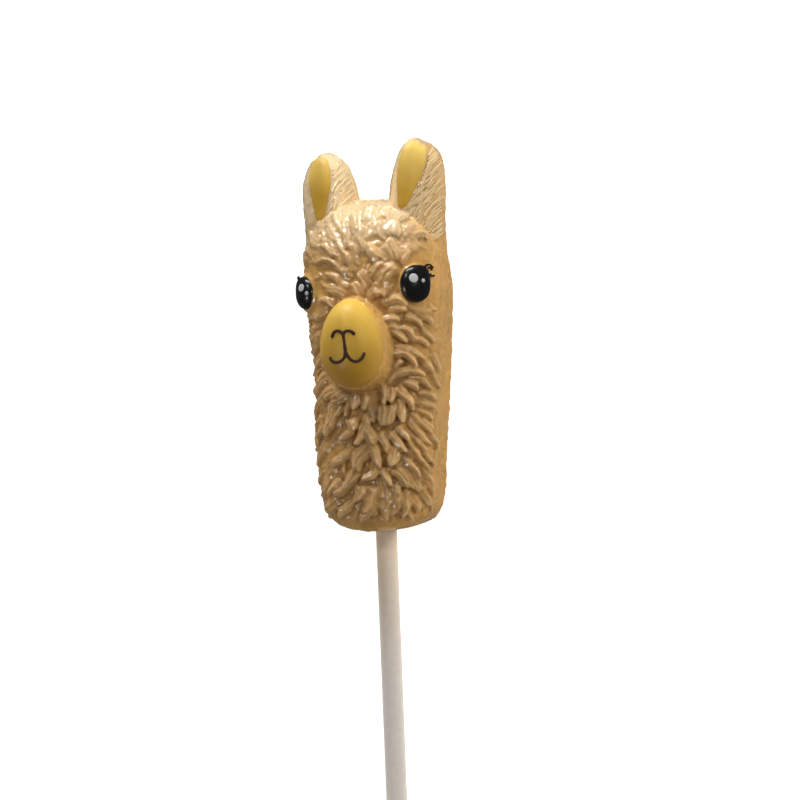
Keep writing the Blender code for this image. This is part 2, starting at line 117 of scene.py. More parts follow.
# Ear outline: (distance below the tip, inner edge, outer edge, depth)
EAR_OUTLINE = (
    (0.0, 8.7, 10.9, 4.6), (0.5, 7.4, 11.5, 5.7), (1.5, 6.3, 12.2, 6.7), (3.0, 5.3, 12.8, 7.4),
    (5.0, 4.5, 13.3, 7.9), (7.5, 3.8, 13.5, 8.2), (11.0, 3.2, 13.5, 8.4), (15.0, 2.9, 13.3, 8.5),
    (24.0, 2.9, 13.4, 8.5),
)

# Ear section: (share of the width from the inner edge, share of the depth)
EAR_SECTION = (
    (0.0, 0.25), (0.04, 0.54), (0.12, 0.78), (0.22, 0.94), (0.34, 1.0), (0.48, 0.97), (0.62, 0.89),
    (0.76, 0.77), (0.88, 0.59), (0.96, 0.38), (1.0, 0.16),
)

# Ear lining: (distance below the tip, half width)
LINING_OUTLINE = (
    (0.3, 0.5), (0.8, 1.15), (1.7, 1.65), (3.2, 2.05), (5.0, 2.25), (7.0, 2.1), (9.0, 1.65),
    (11.0, 1.15), (13.5, 0.6),
)
# Where the combed hairs stand across an ear, as shares of its width, and their rows down it
EAR_HAIRS = {
    "left": (0.44, 0.34, 0.24, 0.15, 0.07),
    "right": (0.58, 0.66, 0.74, 0.81, 0.87, 0.92, 0.96),
}
EAR_HAIR_ROWS = 17
EAR_HAIRS_TOP = 2.6
# How much wider than the outline each ear's outer edge is: (distance below the tip, width)
EAR_RIM = {"left": ((0.0, 0.0), (6.0, 0.85)), "right": ((0.0, -1.1), (1.5, -0.5), (4.0, 0.0))}
# How far the outer edge falls away at each ear's tip, and how fast that ends: (drop, power)
EAR_TIP_DROP = {"left": (1.3, 2), "right": (0.7, 1)}
EAR_TIP_LENGTH = 3.0
LINING_MIDDLE = 0.52
LINING_FOOT_SHIFT = {"left": 0.8, "right": -1.3}

STICK_AXIS = (1.1, 6.4)
STICK_RADIUS = 2.0
STICK_TOP_HEIGHT = 42.0
STICK_FOOT_HEIGHT = -108.0
STICK_CHAMFER = 0.3

# How bold the fleece is up the head, deep on the neck and low on the crown, and how far round to
# the right it reaches, as a turn of the front: (height, value)
FLEECE_SWELL = ((0.0, 0.7), (5.0, 0.85), (12.0, 1.0), (26.0, 1.0), (34.0, 0.85), (46.0, 0.75),
                (54.0, 0.6), (58.0, 0.5), (62.0, 0.45))
FLEECE_EDGE = ((0.0, 0.8), (8.0, 0.86), (30.0, 0.86), (38.0, 0.78), (43.0, 0.62), (52.0, 0.6),
               (56.0, 0.7), (62.0, 0.9))
FLEECE_LEFT_EDGE = -0.98
FLEECE_FOOT = 3.4
FLEECE_PITCH = 1.4
FLEECE_ROW = 1.45
STRAND_SIZES = (0.62, 0.8, 0.95, 1.1, 1.45)
LOOSE_TUFTS_ACROSS = 7
COMB_LOWEST, COMB_HIGHEST = 2.6, 61.9

# Waves that bend the strands sideways and along: (height, per mm across, per mm up, phase)
DRIFT_WAVES = ((0.26, 1.5, 0.7, 0.0), (0.24, 0.7, -1.9, 1.1))
STRETCH_WAVES = ((0.4, 1.9, -0.7, 2.0), (0.15, 3.1, 1.3, 0.0))

# Bare candy round an eye, across and up, and the grain of the smooth head that relief is read from
EYE_ROOM = (3.7, 4.2)
SMOOTH_GRAIN = 0.0005
MOST_TRIANGLES = 188000
PAINT_HALF_WIDTH, PAINT_RISE = 0.3, 0.12
LASH_RADIUS = 0.21

# Camera: turn round the head, tip towards its foot, roll, in degrees; the rest in metres and mm
CAMERA_ANGLES = (17.0, 4.0, 2.2)
CAMERA_AIM = (0.0, 0.0, 0.008)
CAMERA_SLIDE = (0.00530, -0.00652)
CAMERA_DISTANCE = 0.5
CAMERA_LENS = 119.7

# Soft lights: (name, place, Y that it is aimed at, size, watts, seen in the gloss)
LIGHTS = (
    ("window", (-0.10, 0.76, 0.19), 0.01, (0.6, 0.12), 5.0, True),
    ("lamp", (-0.20, 0.50, 0.60), 0.0, (0.08, 0.08), 0.9, True),
    ("spark_left", (-0.30, -0.20, 0.50), 0.0, (0.07, 0.07), 0.45, True),
    ("spark_right", (0.42, 0.10, 0.42), 0.0, (0.05, 0.05), 0.3, True),
    ("rim", (0.55, 0.30, 0.20), 0.0, (0.3, 0.3), 1.6, False),
    ("fill", (-0.15, -0.1, 0.9), 0.0, (0.5, 0.5), 0.2, False),
)

# Tufts that give the fleece its look, one to a row: width, strands, lift of the tip, and then the
# points of its line from root to tip, each as across and height
KEY_TUFTS = (
    (2.5, 2, 0.9, -2.8, 26.5, -4.9, 25.4, -7.2, 23.6),
    (3.0, 3, 1.5, -5.0, 23.9, -6.2, 21.0, -7.3, 17.9),
    (1.5, 1, 1.2, -1.4, 21.4, -2.4, 18.9, -5.5, 17.1),
    (2.0, 2, 1.4, -2.3, 16.2, -4.4, 14.2, -8.7, 11.8),
    (1.7, 2, 1.2, -7.7, 11.2, -8.5, 8.6, -10.6, 5.6),
    (2.0, 2, 1.4, -1.7, 11.4, -3.8, 8.5, -7.1, 6.5),
    (1.6, 1, 1.0, -5.4, 9.8, -7.0, 7.9, -8.5, 6.9),
    (2.2, 2, 1.0, -5.6, 6.0, -8.0, 4.5, -9.1, 3.2),
    (1.9, 2, 1.0, -3.1, 5.7, -4.7, 4.1, -6.5, 2.3),
    (1.4, 1, 1.3, -0.8, 26.7, -0.9, 24.8, -1.4, 22.6),
    (1.4, 1, 1.3, 1.1, 26.0, 0.7, 24.1, 0.0, 22.4),
    (1.3, 1, 1.0, -1.7, 24.8, -2.7, 23.6, -3.1, 21.8),
    (1.6, 1, 1.6, 1.0, 21.8, 0.3, 18.9, -1.9, 16.4),
    (1.9, 1, 0.8, -2.1, 21.4, -1.5, 19.8, -1.2, 18.6),
    (2.5, 2, 1.4, 0.8, 15.9, -0.8, 13.9, -1.1, 11.1),
    (1.9, 1, 1.5, 2.3, 13.2, 1.5, 11.1, -0.3, 10.3),
    (1.7, 1, 1.5, 1.5, 17.3, 2.6, 14.2, 3.3, 10.9),
    (1.9, 1, 0.9, 1.0, 19.5, 1.6, 18.2, 2.4, 16.6),
    (1.5, 1, 1.6, 4.2, 27.8, 4.5, 25.9, 3.9, 23.8),
    (1.5, 1, 1.5, 5.7, 27.0, 5.7, 25.2, 4.9, 23.6),
    (3.0, 2, 1.5, 4.9, 23.7, 4.6, 21.2, 5.0, 19.0),
    (2.0, 1, 1.2, 6.7, 27.1, 8.4, 24.8, 9.1, 21.5),
    (1.6, 1, 1.0, 6.7, 24.6, 7.2, 22.4, 7.1, 20.7),
    (1.3, 1, 1.5, 5.3, 18.7, 6.3, 16.8, 7.4, 15.1),
    (1.3, 1, 1.5, 6.5, 19.8, 7.5, 18.0, 7.9, 16.1),
    (1.9, 1, 1.4, 6.0, 15.9, 5.4, 14.2, 4.7, 12.7),
    (1.6, 1, 0.9, 3.3, 18.8, 4.1, 16.9, 4.2, 14.7),
    (3.0, 3, 1.3, 1.9, 7.9, 0.6, 5.1, -2.4, 2.1),
    (2.2, 2, 1.3, 3.3, 9.8, 3.6, 5.7, 3.1, 2.2),
    (1.9, 2, 1.3, 5.5, 8.7, 5.6, 5.3, 3.7, 2.1),
    (2.2, 2, 1.2, -0.8, 8.9, -1.1, 7.0, -2.3, 4.9),
    (1.9, 2, 1.0, 6.7, 7.4, 6.8, 4.9, 5.5, 2.7),
    (1.9, 2, 1.1, 5.8, 11.8, 7.1, 9.9, 8.1, 7.8),
    (1.4, 1, 1.1, 3.4, 11.9, 4.5, 9.7, 5.6, 7.9),
    (1.9, 2, 1.1, 7.5, 12.1, 8.6, 9.4, 9.1, 7.2),
    (1.9, 2, 1.0, 7.8, 7.0, 8.8, 4.7, 8.9, 2.8),
    (1.9, 2, 1.0, 9.4, 7.8, 10.1, 5.7, 10.1, 3.6),
    (1.1, 1, 1.0, 8.4, 21.1, 9.7, 18.4, 11.3, 15.6),
    (1.1, 1, 1.0, 8.9, 21.8, 10.5, 19.6, 11.5, 17.4),
    (1.1, 1, 1.0, 9.1, 17.6, 10.2, 15.6, 11.1, 13.6),
    (1.1, 1, 1.0, 8.0, 17.0, 9.2, 14.4, 10.3, 12.4),
    (1.1, 1, 1.0, 8.8, 14.8, 10.1, 12.4, 11.1, 9.5),
    (1.1, 1, 1.0, 10.0, 15.3, 10.9, 13.2, 11.2, 11.4),
    (1.1, 1, 1.0, 7.6, 13.6, 8.6, 11.7, 9.4, 9.8),
    (1.1, 1, 1.0, 9.6, 11.7, 10.6, 9.6, 10.9, 7.5),
    (1.1, 1, 0.9, 9.9, 9.6, 10.7, 7.7, 10.7, 5.5),
    (1.1, 1, 1.0, 10.1, 26.1, 11.3, 25.5, 12.2, 24.4),
    (1.1, 1, 1.0, 10.1, 24.4, 11.3, 23.8, 12.1, 22.7),
    (1.1, 1, 1.0, 9.9, 22.8, 11.1, 21.8, 12.0, 20.6),
    (1.1, 1, 1.0, 10.3, 20.9, 11.2, 19.5, 11.8, 17.9),
    (1.1, 1, 0.9, 10.8, 18.3, 11.5, 16.9, 11.5, 15.0),
    (1.1, 1, 0.9, 10.7, 6.5, 10.4, 4.5, 9.8, 2.9),
    (1.5, 1, 1.2, 5.8, 37.8, 8.0, 36.6, 9.1, 35.1),
    (1.3, 1, 1.1, 7.3, 38.5, 8.9, 37.8, 10.4, 35.6),
    (1.5, 1, 1.3, 6.1, 33.5, 8.4, 33.5, 9.5, 31.4, 8.8, 30.1),
    (1.4, 1, 1.2, 7.0, 34.8, 9.7, 33.8, 11.6, 31.6),
    (1.4, 1, 1.2, 5.2, 28.5, 7.0, 30.0, 9.4, 30.3, 11.3, 28.9),
    (1.3, 1, 1.1, 5.6, 30.2, 6.9, 31.9, 8.6, 32.1),
    (1.3, 1, 1.0, 8.8, 36.6, 11.1, 35.5, 12.3, 32.9),
    (1.3, 1, 1.0, 10.0, 33.1, 11.6, 31.1, 12.2, 29.1),
    (1.3, 1, 1.1, 8.9, 29.1, 10.7, 28.2, 12.0, 25.9),
    (1.3, 1, 1.0, 8.1, 28.2, 9.4, 27.5, 10.6, 25.9),
    (1.2, 1, 0.9, 11.2, 37.7, 12.3, 36.0, 12.8, 34.1),
    (1.2, 1, 0.9, 12.3, 32.9, 12.7, 30.9, 12.7, 29.0),
    (1.2, 1, 0.9, 12.1, 29.1, 12.5, 27.5, 12.5, 25.8),
    (1.6, 2, 0.9, -7.9, 37.0, -9.3, 35.0, -10.5, 32.7),
    (1.6, 2, 0.9, -8.1, 33.2, -9.5, 30.9, -10.9, 28.9),
    (1.6, 2, 1.0, -7.1, 29.4, -8.8, 27.8, -10.7, 25.4),
    (1.9, 2, 1.0, -4.8, 27.3, -6.5, 26.3, -8.3, 25.0),
    (1.7, 2, 1.0, -8.5, 25.0, -10.1, 23.0, -10.8, 20.7),
    (1.7, 2, 1.0, -8.2, 20.0, -9.9, 17.7, -8.8, 16.8),
    (1.7, 2, 1.0, -8.2, 16.2, -10.0, 13.5, -10.2, 11.6),
    (1.6, 2, 1.0, -8.6, 21.2, -10.0, 19.9, -10.8, 18.2),
    (2.5, 1, 1.2, 4.8, 50.4, 3.5, 52.2, 2.4, 54.0),
    (2.5, 1, 1.3, 6.9, 50.8, 6.2, 53.0, 5.6, 54.9),
    (2.2, 1, 1.2, 7.9, 50.2, 8.8, 51.6, 9.3, 53.3),
    (1.9, 1, 1.1, 1.3, 52.9, 0.6, 55.3, 0.5, 57.5),
    (2.5, 2, 1.1, 3.6, 55.2, 3.3, 57.1, 2.6, 58.3),
    (2.5, 2, 1.1, 6.2, 55.4, 6.4, 56.9, 6.0, 58.3),
    (2.0, 1, 1.4, 7.5, 50.3, 8.8, 52.3, 10.7, 53.2, 12.1, 53.4),
    (1.7, 1, 1.2, 9.7, 53.3, 10.2, 54.9, 11.2, 55.0, 11.8, 53.9),
    (1.9, 1, 1.0, 8.5, 55.3, 9.4, 56.5, 10.2, 56.4),
    (1.9, 1, 1.0, 6.5, 58.1, 7.5, 58.7, 8.6, 58.0),
    (2.7, 1, 1.5, 4.7, 45.2, 5.8, 48.0, 7.6, 49.9),
    (1.9, 1, 1.1, 3.0, 47.9, 4.3, 49.4, 5.9, 50.4),
    (1.5, 1, 1.2, 2.2, 43.0, 3.4, 44.8, 5.2, 44.8, 5.6, 43.4),
    (1.4, 1, 1.0, 5.1, 42.9, 7.5, 43.5, 9.7, 42.3),
    (1.4, 1, 1.0, 6.0, 41.4, 7.7, 41.8, 9.6, 40.9),
    (1.9, 2, 1.0, 1.1, 44.6, 0.2, 46.2, -1.1, 46.8),
    (1.9, 2, 1.0, 2.4, 46.1, 1.5, 48.0, 0.2, 49.2),
    (1.7, 2, 1.1, -2.2, 49.9, -3.3, 52.1, -6.1, 53.4, -9.0, 53.0),
    (1.6, 2, 1.0, -1.5, 48.0, -3.5, 49.9, -6.5, 51.2, -8.9, 51.0),
    (1.6, 2, 1.0, -2.1, 46.2, -4.6, 48.1, -7.6, 48.8),
    (1.5, 2, 1.0, -0.8, 49.2, -1.5, 51.4, -3.8, 54.5),
    (1.5, 2, 1.0, 0.1, 50.5, -0.3, 52.9, -2.0, 55.1),
    (1.5, 2, 1.0, -1.7, 53.6, -2.3, 56.0, -3.2, 58.5),
    (1.5, 2, 0.9, -3.5, 54.2, -5.2, 56.1, -7.4, 58.6),
    (1.5, 2, 0.9, -5.4, 54.3, -6.9, 55.9, -7.8, 57.7),
    (1.5, 2, 0.9, -0.3, 56.0, -1.0, 58.1, -1.1, 59.7),
    (1.5, 2, 0.9, -4.0, 57.3, -4.7, 59.2, -4.1, 60.7),
    (1.6, 2, 0.9, -8.0, 54.3, -10.1, 55.6, -9.7, 56.2),
    (1.9, 2, 0.8, 1.9, 58.3, 1.4, 59.9, 1.5, 61.1),
    (1.9, 2, 0.8, 4.5, 58.5, 4.4, 59.8, 4.3, 60.7),
    (1.6, 2, 0.9, -2.2, 44.7, -4.2, 45.6, -6.8, 46.3),
    (1.6, 2, 0.9, -4.3, 43.2, -6.2, 43.8, -8.7, 43.2),
    (1.6, 2, 0.8, -5.9, 41.6, -7.6, 41.0, -9.6, 39.7),
    (1.4, 1, 1.0, 5.0, 39.5, 6.8, 40.1, 8.7, 39.1),
    (1.4, 1, 1.0, 4.9, 38.0, 6.7, 38.7, 8.9, 37.2),
    (1.3, 1, 0.9, 9.0, 40.3, 10.6, 39.3, 11.4, 37.4),
    (1.3, 1, 0.9, 10.6, 40.8, 12.2, 39.5, 12.8, 37.2),
)
KEY_TUFTS = tuple((*row[:3], tuple(zip(row[3::2], row[4::2]))) for row in KEY_TUFTS)


LENGTH = {"subtype": "DISTANCE", "unit": "LENGTH", "precision": 5}
SHADE = {"subtype": "COLOR", "min": 0.0, "max": 1.0}


class LollipopSizes(PropertyGroup):
    skin: FloatProperty(
        name="Candy detail", description="Grain of the moulded candy's skin", default=0.00018,
        min=0.0001, max=0.001, **LENGTH
    )
    strand: FloatProperty(
        name="Strand width", description="Width of one loose strand of fleece", default=0.00112,
        min=0.0005, max=0.003, **LENGTH
    )
    strand_rise: FloatProperty(
        name="Strand rise", description="Height of a strand over the head", default=0.00078,
        min=0.0, max=0.002, **LENGTH
    )
    seed: IntProperty(
        name="Fleece seed", description="Changes how the loose strands fall", default=6, min=0
    )


class LollipopColours(PropertyGroup):
    cream: FloatVectorProperty(
        name="Cream", description="The candy of the head", default=(0.525, 0.302, 0.1), **SHADE
    )
    # Painted shade: the candy's colour darkened in the creases between strands, where shade falls.
    crease_shade: FloatVectorProperty(
        name="Crease", description="The candy deep between the strands",
        default=(0.31, 0.142, 0.026), **SHADE
    )
    # Painted highlight: the candy's colour lightened on the raised tips, where light catches them.
    tip: FloatVectorProperty(
        name="Tip", description="The candy on the raised tips",
        default=(0.75, 0.51, 0.255), **SHADE
    )
    golden: FloatVectorProperty(
        name="Golden", description="The smooth candy of the sides",
        default=(0.625, 0.352, 0.1), **SHADE
    )
    # Painted light: the crown and ears are made paler where the light from above falls on them.
    lit_pale: FloatVectorProperty(
        name="Pale", description="The bright candy of the crown and ears",
        default=(0.96, 0.82, 0.56), **SHADE
    )
    # Painted light: the left ear's hairs are lighter, as that flank is lit.
    combed_lit_left: FloatVectorProperty(
        name="Left hairs", description="The combed hairs, left ear",
        default=(0.84, 0.62, 0.34), **SHADE
    )
    # Painted shade: the right ear's hairs are darker, as that flank is in shade.
    combed_shaded_right: FloatVectorProperty(
        name="Right hairs", description="The combed hairs, right ear",
        default=(0.76, 0.52, 0.25), **SHADE
    )
    yellow: FloatVectorProperty(
        name="Yellow", description="The muzzle's top", default=(0.70, 0.44, 0.062), **SHADE
    )
    # Painted shade: the muzzle's foot is darker because it faces away from the light.
    shaded_chin: FloatVectorProperty(
        name="Chin", description="The muzzle's foot", default=(0.42, 0.205, 0.012), **SHADE
    )
    # Painted light: the lining is paler at the ear's tip, where the light from above falls.
    lit_lining_tip: FloatVectorProperty(
        name="Lining tip", description="The ears' yellow at the tip",
        default=(0.80, 0.56, 0.13), **SHADE
    )
    lining: FloatVectorProperty(
        name="Lining", description="The ears' yellow lower down",
        default=(0.56, 0.32, 0.03), **SHADE
    )
    black: FloatVectorProperty(
        name="Black", description="The eyes and lashes", default=(0.004, 0.004, 0.005), **SHADE
    )
    brown: FloatVectorProperty(
        name="Brown", description="The painted mouth", default=(0.045, 0.016, 0.005), **SHADE
    )
    white: FloatVectorProperty(
        name="White", description="The painted lights of the eyes",
        default=(0.42, 0.43, 0.43), **SHADE
    )
    paper: FloatVectorProperty(
        name="Paper", description="The stick", default=(0.79, 0.715, 0.64), **SHADE
    )
    # The stick's warmer colour towards its top, by the candy.
    paper_near_candy: FloatVectorProperty(
        name="Stain", description="The stick by the candy", default=(0.88, 0.71, 0.52), **SHADE
    )


def place(across, height, z):
    """A point of the head, in metres in the part's frame."""
    return Vector((across * MM, (height - ORIGIN_HEIGHT) * MM, z * MM))


def clamp(value, low=0.0, high=1.0):
    return min(max(value, low), high)


def along(keys, height):
    """Smooth interpolation of the columns of keys at this height (cubic through the rows)."""
    height = clamp(height, keys[0][0], keys[-1][0])
    index = max(i for i in range(len(keys) - 1) if keys[i][0] <= height or i == 0)
    low, high = keys[index], keys[index + 1]
    before, after = keys[max(index - 1, 0)], keys[min(index + 2, len(keys) - 1)]
    span = high[0] - low[0]
    share = (height - low[0]) / span
    values = []
    for column in range(1, len(low)):
        slope_low = (high[column] - before[column]) / (high[0] - before[0]) * span
        slope_high = (after[column] - low[column]) / (after[0] - low[0]) * span
        values.append(
            (2 * share**3 - 3 * share**2 + 1) * low[column]
            + (share**3 - 2 * share**2 + share) * slope_low
            + (3 * share**2 - 2 * share**3) * high[column]
            + (share**3 - share**2) * slope_high
        )
    return values


def along_line(points, share):
    """A point on the smooth line through these points, at this share of its way."""
    rows = tuple((i / (len(points) - 1), *point) for i, point in enumerate(points))
    return along(rows, share)


def front_point(height, turn):
    """The head's front, in millimetres: turn runs from -1 at the left wall to 1 at the right."""
    left, right, thickness = along(HEAD_OUTLINE, height)
    wall = min(SIDE_WALL, 0.5 * thickness)
    angle = 0.5 * math.pi * turn
    across = 0.5 * (right - left) + (0.5 * (left + right) - SIDE_DRAFT) * math.sin(angle)
    rise = (thickness - wall) * max(math.cos(angle), 0.0) ** 0.9
    return Vector((across, height, wall + rise))


def front_turn(height, across):
    """The turn at which the front lies this far across."""
    left, right, _ = along(HEAD_OUTLINE, height)
    share = (across - 0.5 * (right - left)) / (0.5 * (left + right) - SIDE_DRAFT)
    return math.asin(clamp(share, -0.995, 0.995)) / (0.5 * math.pi)


def front_frame(height, turn):
    """The front's point, its unit directions to the right and up, and its outward normal."""
    point = front_point(height, turn)
    right = (front_point(height, turn + 0.02) - front_point(height, turn - 0.02)).normalized()
    up = front_point(height + 0.5, turn) - front_point(height - 0.5, turn)
    up = (up - up.dot(right) * right).normalized()
    return point, right, up, right.cross(up)


def deselect_all():
    bpy.ops.object.select_all(action="DESELECT")


def make_active(obj):
    deselect_all()
    obj.select_set(True)
    bpy.context.view_layer.objects.active = obj


def rod(name, sides, steps):
    """A filled circle extruded in equal steps to one unit along +Y."""
    deselect_all()
    bpy.ops.mesh.primitive_circle_add(
        vertices=sides, radius=1.0, fill_type="NGON", rotation=(math.radians(90.0), 0.0, 0.0)
    )
    obj = bpy.context.object
    obj.name = obj.data.name = name
    bpy.ops.object.transform_apply(location=True, rotation=True, scale=True)
    bpy.ops.object.mode_set(mode="EDIT")
    bpy.ops.mesh.select_all(action="SELECT")
    for _ in range(steps):
        bpy.ops.mesh.extrude_region_move(TRANSFORM_OT_translate={"value": (0, 1.0 / steps, 0)})
    bpy.ops.object.mode_set(mode="OBJECT")
    return obj


def select_where(obj, test):
    """Opens obj in edit mode with only the vertices selected whose places pass the test."""
    make_active(obj)
    bpy.ops.object.mode_set(mode="EDIT")
    bpy.ops.mesh.select_mode(type="VERT")
    bpy.ops.mesh.select_all(action="DESELECT")
    bpy.ops.object.mode_set(mode="OBJECT")
    for vertex in obj.data.vertices:
        vertex.select = test(vertex.co)
    bpy.ops.object.mode_set(mode="EDIT")


def ball(name, segments, rings):
    deselect_all()
    bpy.ops.mesh.primitive_uv_sphere_add(segments=segments, ring_count=rings, radius=1.0)
    obj = bpy.context.object
    obj.name = obj.data.name = name
    return obj


def copy_of(obj):
    copy = obj.copy()
    copy.data = obj.data.copy()
    bpy.context.scene.collection.objects.link(copy)
    return copy


def points_of(obj):
    points = np.empty(len(obj.data.vertices) * 3)
    obj.data.vertices.foreach_get("co", points)
    return points.reshape(-1, 3)


def set_points(obj, points):
    obj.data.vertices.foreach_set("co", np.asarray(points, dtype=float).ravel())
    obj.data.update()


def shape(obj, rule):
    """Moves every vertex to the place that rule gives for it, in metres."""
    set_points(obj, [rule(*point) for point in points_of(obj)])
    return obj


def turn_outward(obj):
    make_active(obj)
    bpy.ops.object.mode_set(mode="EDIT")
    bpy.ops.mesh.select_all(action="SELECT")
    bpy.ops.mesh.remove_doubles(threshold=0.000002)
    bpy.ops.mesh.normals_make_consistent(inside=False)
    bpy.ops.object.mode_set(mode="OBJECT")
    return obj


def apply_modifier(obj, kind, **settings):
    modifier = obj.modifiers.new(kind.lower(), kind)
    for key, value in settings.items():
        setattr(modifier, key, value)
    make_active(obj)
    bpy.ops.object.modifier_apply(modifier=modifier.name)


def join(objects, name):
    deselect_all()
    for obj in objects:
        obj.select_set(True)
    bpy.context.view_layer.objects.active = objects[0]
    bpy.ops.object.join()
    objects[0].name = objects[0].data.name = name
    return objects[0]


def finish_piece(obj, material, replaced=None, angle=60.0):
    obj.data.materials.clear()
    obj.data.materials.append(material)
    make_active(obj)
    bpy.ops.object.shade_smooth_by_angle(angle=math.radians(angle))
    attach(obj, "root")
    if replaced:
        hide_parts(replaced)
    return obj


def egg(angle, grow=0.0):
    """The muzzle's outline, narrower at its top."""
    across = (MUZZLE_HALF_WIDTH + grow) * math.cos(angle)
    up = (MUZZLE_HALF_LENGTH + grow) * math.sin(angle)
    return across * (1.0 - MUZZLE_EGG * math.sin(angle)), up


def core_piece():
    """The smooth candy under the fleece, with its flat back."""

    def rule(x, y, z):
        height = HEAD_HEIGHT * (0.5 - 0.5 * math.cos(math.pi * y)) ** 0.85
        angle = math.atan2(z, x)
        if -0.001 <= angle <= math.pi + 0.001 and z > -0.001:
            return place(*front_point(height, 1.0 - 2.0 * max(angle, 0.0) / math.pi))
        left, right, _ = along(HEAD_OUTLINE, height)
        share = math.cos(angle)
        return place(right * share if share > 0.0 else left * share, height, 0.0)

    return turn_outward(shape(rod("core", 96, 90), rule))


def snout_piece():
    """The smooth neck of the muzzle, which flares out as it sinks into the head."""

    def rule(x, y, z):
        level, flare = along_line(SNOUT_RINGS, y)
        across, up = egg(math.atan2(-z, x), 0.1 + SNOUT_FLARE * flare)
        return place(across, MUZZLE_HEIGHT + up - SNOUT_CHIN * flare, level)

    return turn_outward(shape(rod("snout", 72, 16), rule))


def ear_edges(name, below_tip):
    """How far across the inner and outer edges of an ear are; the outer rim differs by side."""
    inner, outer, _ = along(EAR_OUTLINE, below_tip)
    return inner, outer + along(EAR_RIM[name], below_tip)[0]


def tip_drop(name, below_tip):
    """How far the outer edge falls away near an ear's tip, so that its corner is round."""
    most, power = EAR_TIP_DROP[name]
    return most * max(1.0 - below_tip / EAR_TIP_LENGTH, 0.0) ** power


def ear_point(name, below_tip, share, lift=0.0):
    """A point of an ear's front: share runs from its inner edge to its outer edge."""
    inner, outer = ear_edges(name, below_tip)
    depth = along(EAR_OUTLINE, below_tip)[2]
    across = inner + (outer - inner) * share
    z = depth * along(EAR_SECTION, share)[0] + lift
    height = EAR_TIP_HEIGHTS[name] - below_tip - tip_drop(name, below_tip) * share**2
    return place(SIDES[name] * across, height, z)


def ear_piece(name):
    """A thick pointed leaf with a flat back; its front leans outward."""

    def rule(x, y, z):
        below_tip = (EAR_TIP_HEIGHTS[name] - EAR_FOOT) * (1.0 - y) ** 1.5
        share = 0.5 + 0.5 * math.cos(math.atan2(z, x))
        point = ear_point(name, below_tip, share)
        if z < -0.001:
            point.y -= tip_drop(name, below_tip) * (1.0 - share**2) * MM
            point.z = 0.0
        return point

    return turn_outward(shape(rod(f"ear_{name}", 64, 48), rule))


def eye_matrix(name):
    """Places an eye's own frame on the head: its z axis looks out of the head."""
    side, height = SIDES[name], EYE_HEIGHTS[name]
    tilt = Matrix.Rotation(math.radians(EYE_TILT) * side, 4, "Y")
    point = front_point(height, front_turn(height, side * EYE_ACROSS[name]))
    return Matrix.Translation(place(*point)) @ tilt


def ellipsoid(name, radii, matrix, segments=64, rings=32):
    return shape(
        ball(name, segments, rings),
        lambda x, y, z: matrix @ (Vector((x * radii[0], y * radii[1], z * radii[2])) * MM),
    )


def strand_master(name, sides, rings, blunt, ridges=0):
    """One strand, a unit long and a unit to each side: thin at its root and round at its tip."""
    obj = rod(name, sides, rings)
    for i in range(rings + 1):
        share = i / rings
        width = min(1.0, 0.6 + 1.3 * share) * max(1.0 - share**blunt, 0.0) ** 0.5
        select_where(obj, lambda point: abs(point.y - share) < 0.3 / rings)
        bpy.ops.transform.resize(
            value=(max(width, 0.03), 1.0, max(width, 0.03)), center_override=(0.0, share, 0.0)
        )
        bpy.ops.object.mode_set(mode="OBJECT")
    if ridges:
        shape(obj, lambda x, y, z: (x, y, z * (0.95 + 0.13 * math.cos(ridges * math.pi * x))))
    return obj


def waves(rows, x, y):
    return sum(high * np.sin(a * x + b * y + phase) for high, a, b, phase in rows)


def lay_strand(master, line, half_width, rise, lift, offset=0.0, splay=0.0, reach=1.0, sunk=0.4):
    """A copy of the master laid along a line of the head's front, its underside in the candy.

    offset puts it beside the line, splay opens it toward the tip, reach shortens it, and sunk
    is how deep its root starts.
    """
    copy = copy_of(master)
    points = points_of(master)
    stations, ring_of = np.unique(np.round(points[:, 1], 5), return_inverse=True)
    frames = []
    for station in stations:
        across, height = along_line(line, station * reach)
        across_next, height_next = along_line(line, station * reach + 0.02)
        point, _, _, normal = front_frame(height, front_turn(height, across))
        ahead = front_point(height_next, front_turn(height_next, across_next)) - point
        if ahead.length < 1e-5:
            across_back, height_back = along_line(line, station * reach - 0.02)
            ahead = point - front_point(height_back, front_turn(height_back, across_back))
        frames.append((point, ahead.cross(normal).normalized(), normal, ahead.normalized()))
    centres, sides, normals, aheads = (np.array(column)[ring_of] for column in zip(*frames))
    sideways = points[:, 0] * half_width + offset * (1.0 + splay * points[:, 1])
    out = np.where(
        points[:, 2] > -0.02,
        lift * points[:, 1] ** 1.5 + rise * points[:, 2] - sunk * (1.0 - points[:, 1]),
        0.9 * points[:, 2] - 0.3,
    )
    laid = centres + sides * sideways[:, None] + normals * out[:, None]
    x, y = laid[:, 0], laid[:, 1]
    wavy = 0.45 + 0.4 * np.clip((y - 48.0) / 8.0, 0.0, 1.0)
    drift, stretch = wavy * waves(DRIFT_WAVES, x, y), wavy * waves(STRETCH_WAVES, x, y)
    laid += sides * drift[:, None] + aheads * stretch[:, None]
    laid[:, 1] -= ORIGIN_HEIGHT
    set_points(copy, laid * MM)
    return copy


def comb_direction(across, height):
    """Which way the fleece lies on the front, as (right, up): out from the muzzle, then down."""
    rise = height - MUZZLE_HEIGHT
    out = across / max(math.hypot(across, rise), 0.1)
    if rise > 6.0:
        lift = 0.95 - 1.3 * abs(across) / 13.0 + 0.08 * max(height - 55.0, 0.0)
        return Vector((0.9 * math.copysign(1.0, across), lift)).normalized()
    droop = clamp((6.0 - rise) / 12.0)
    sideways = out * (1.0 - droop) + 0.07 * across * droop
    return Vector((sideways, -0.25 * (1.0 - droop) - droop)).normalized()


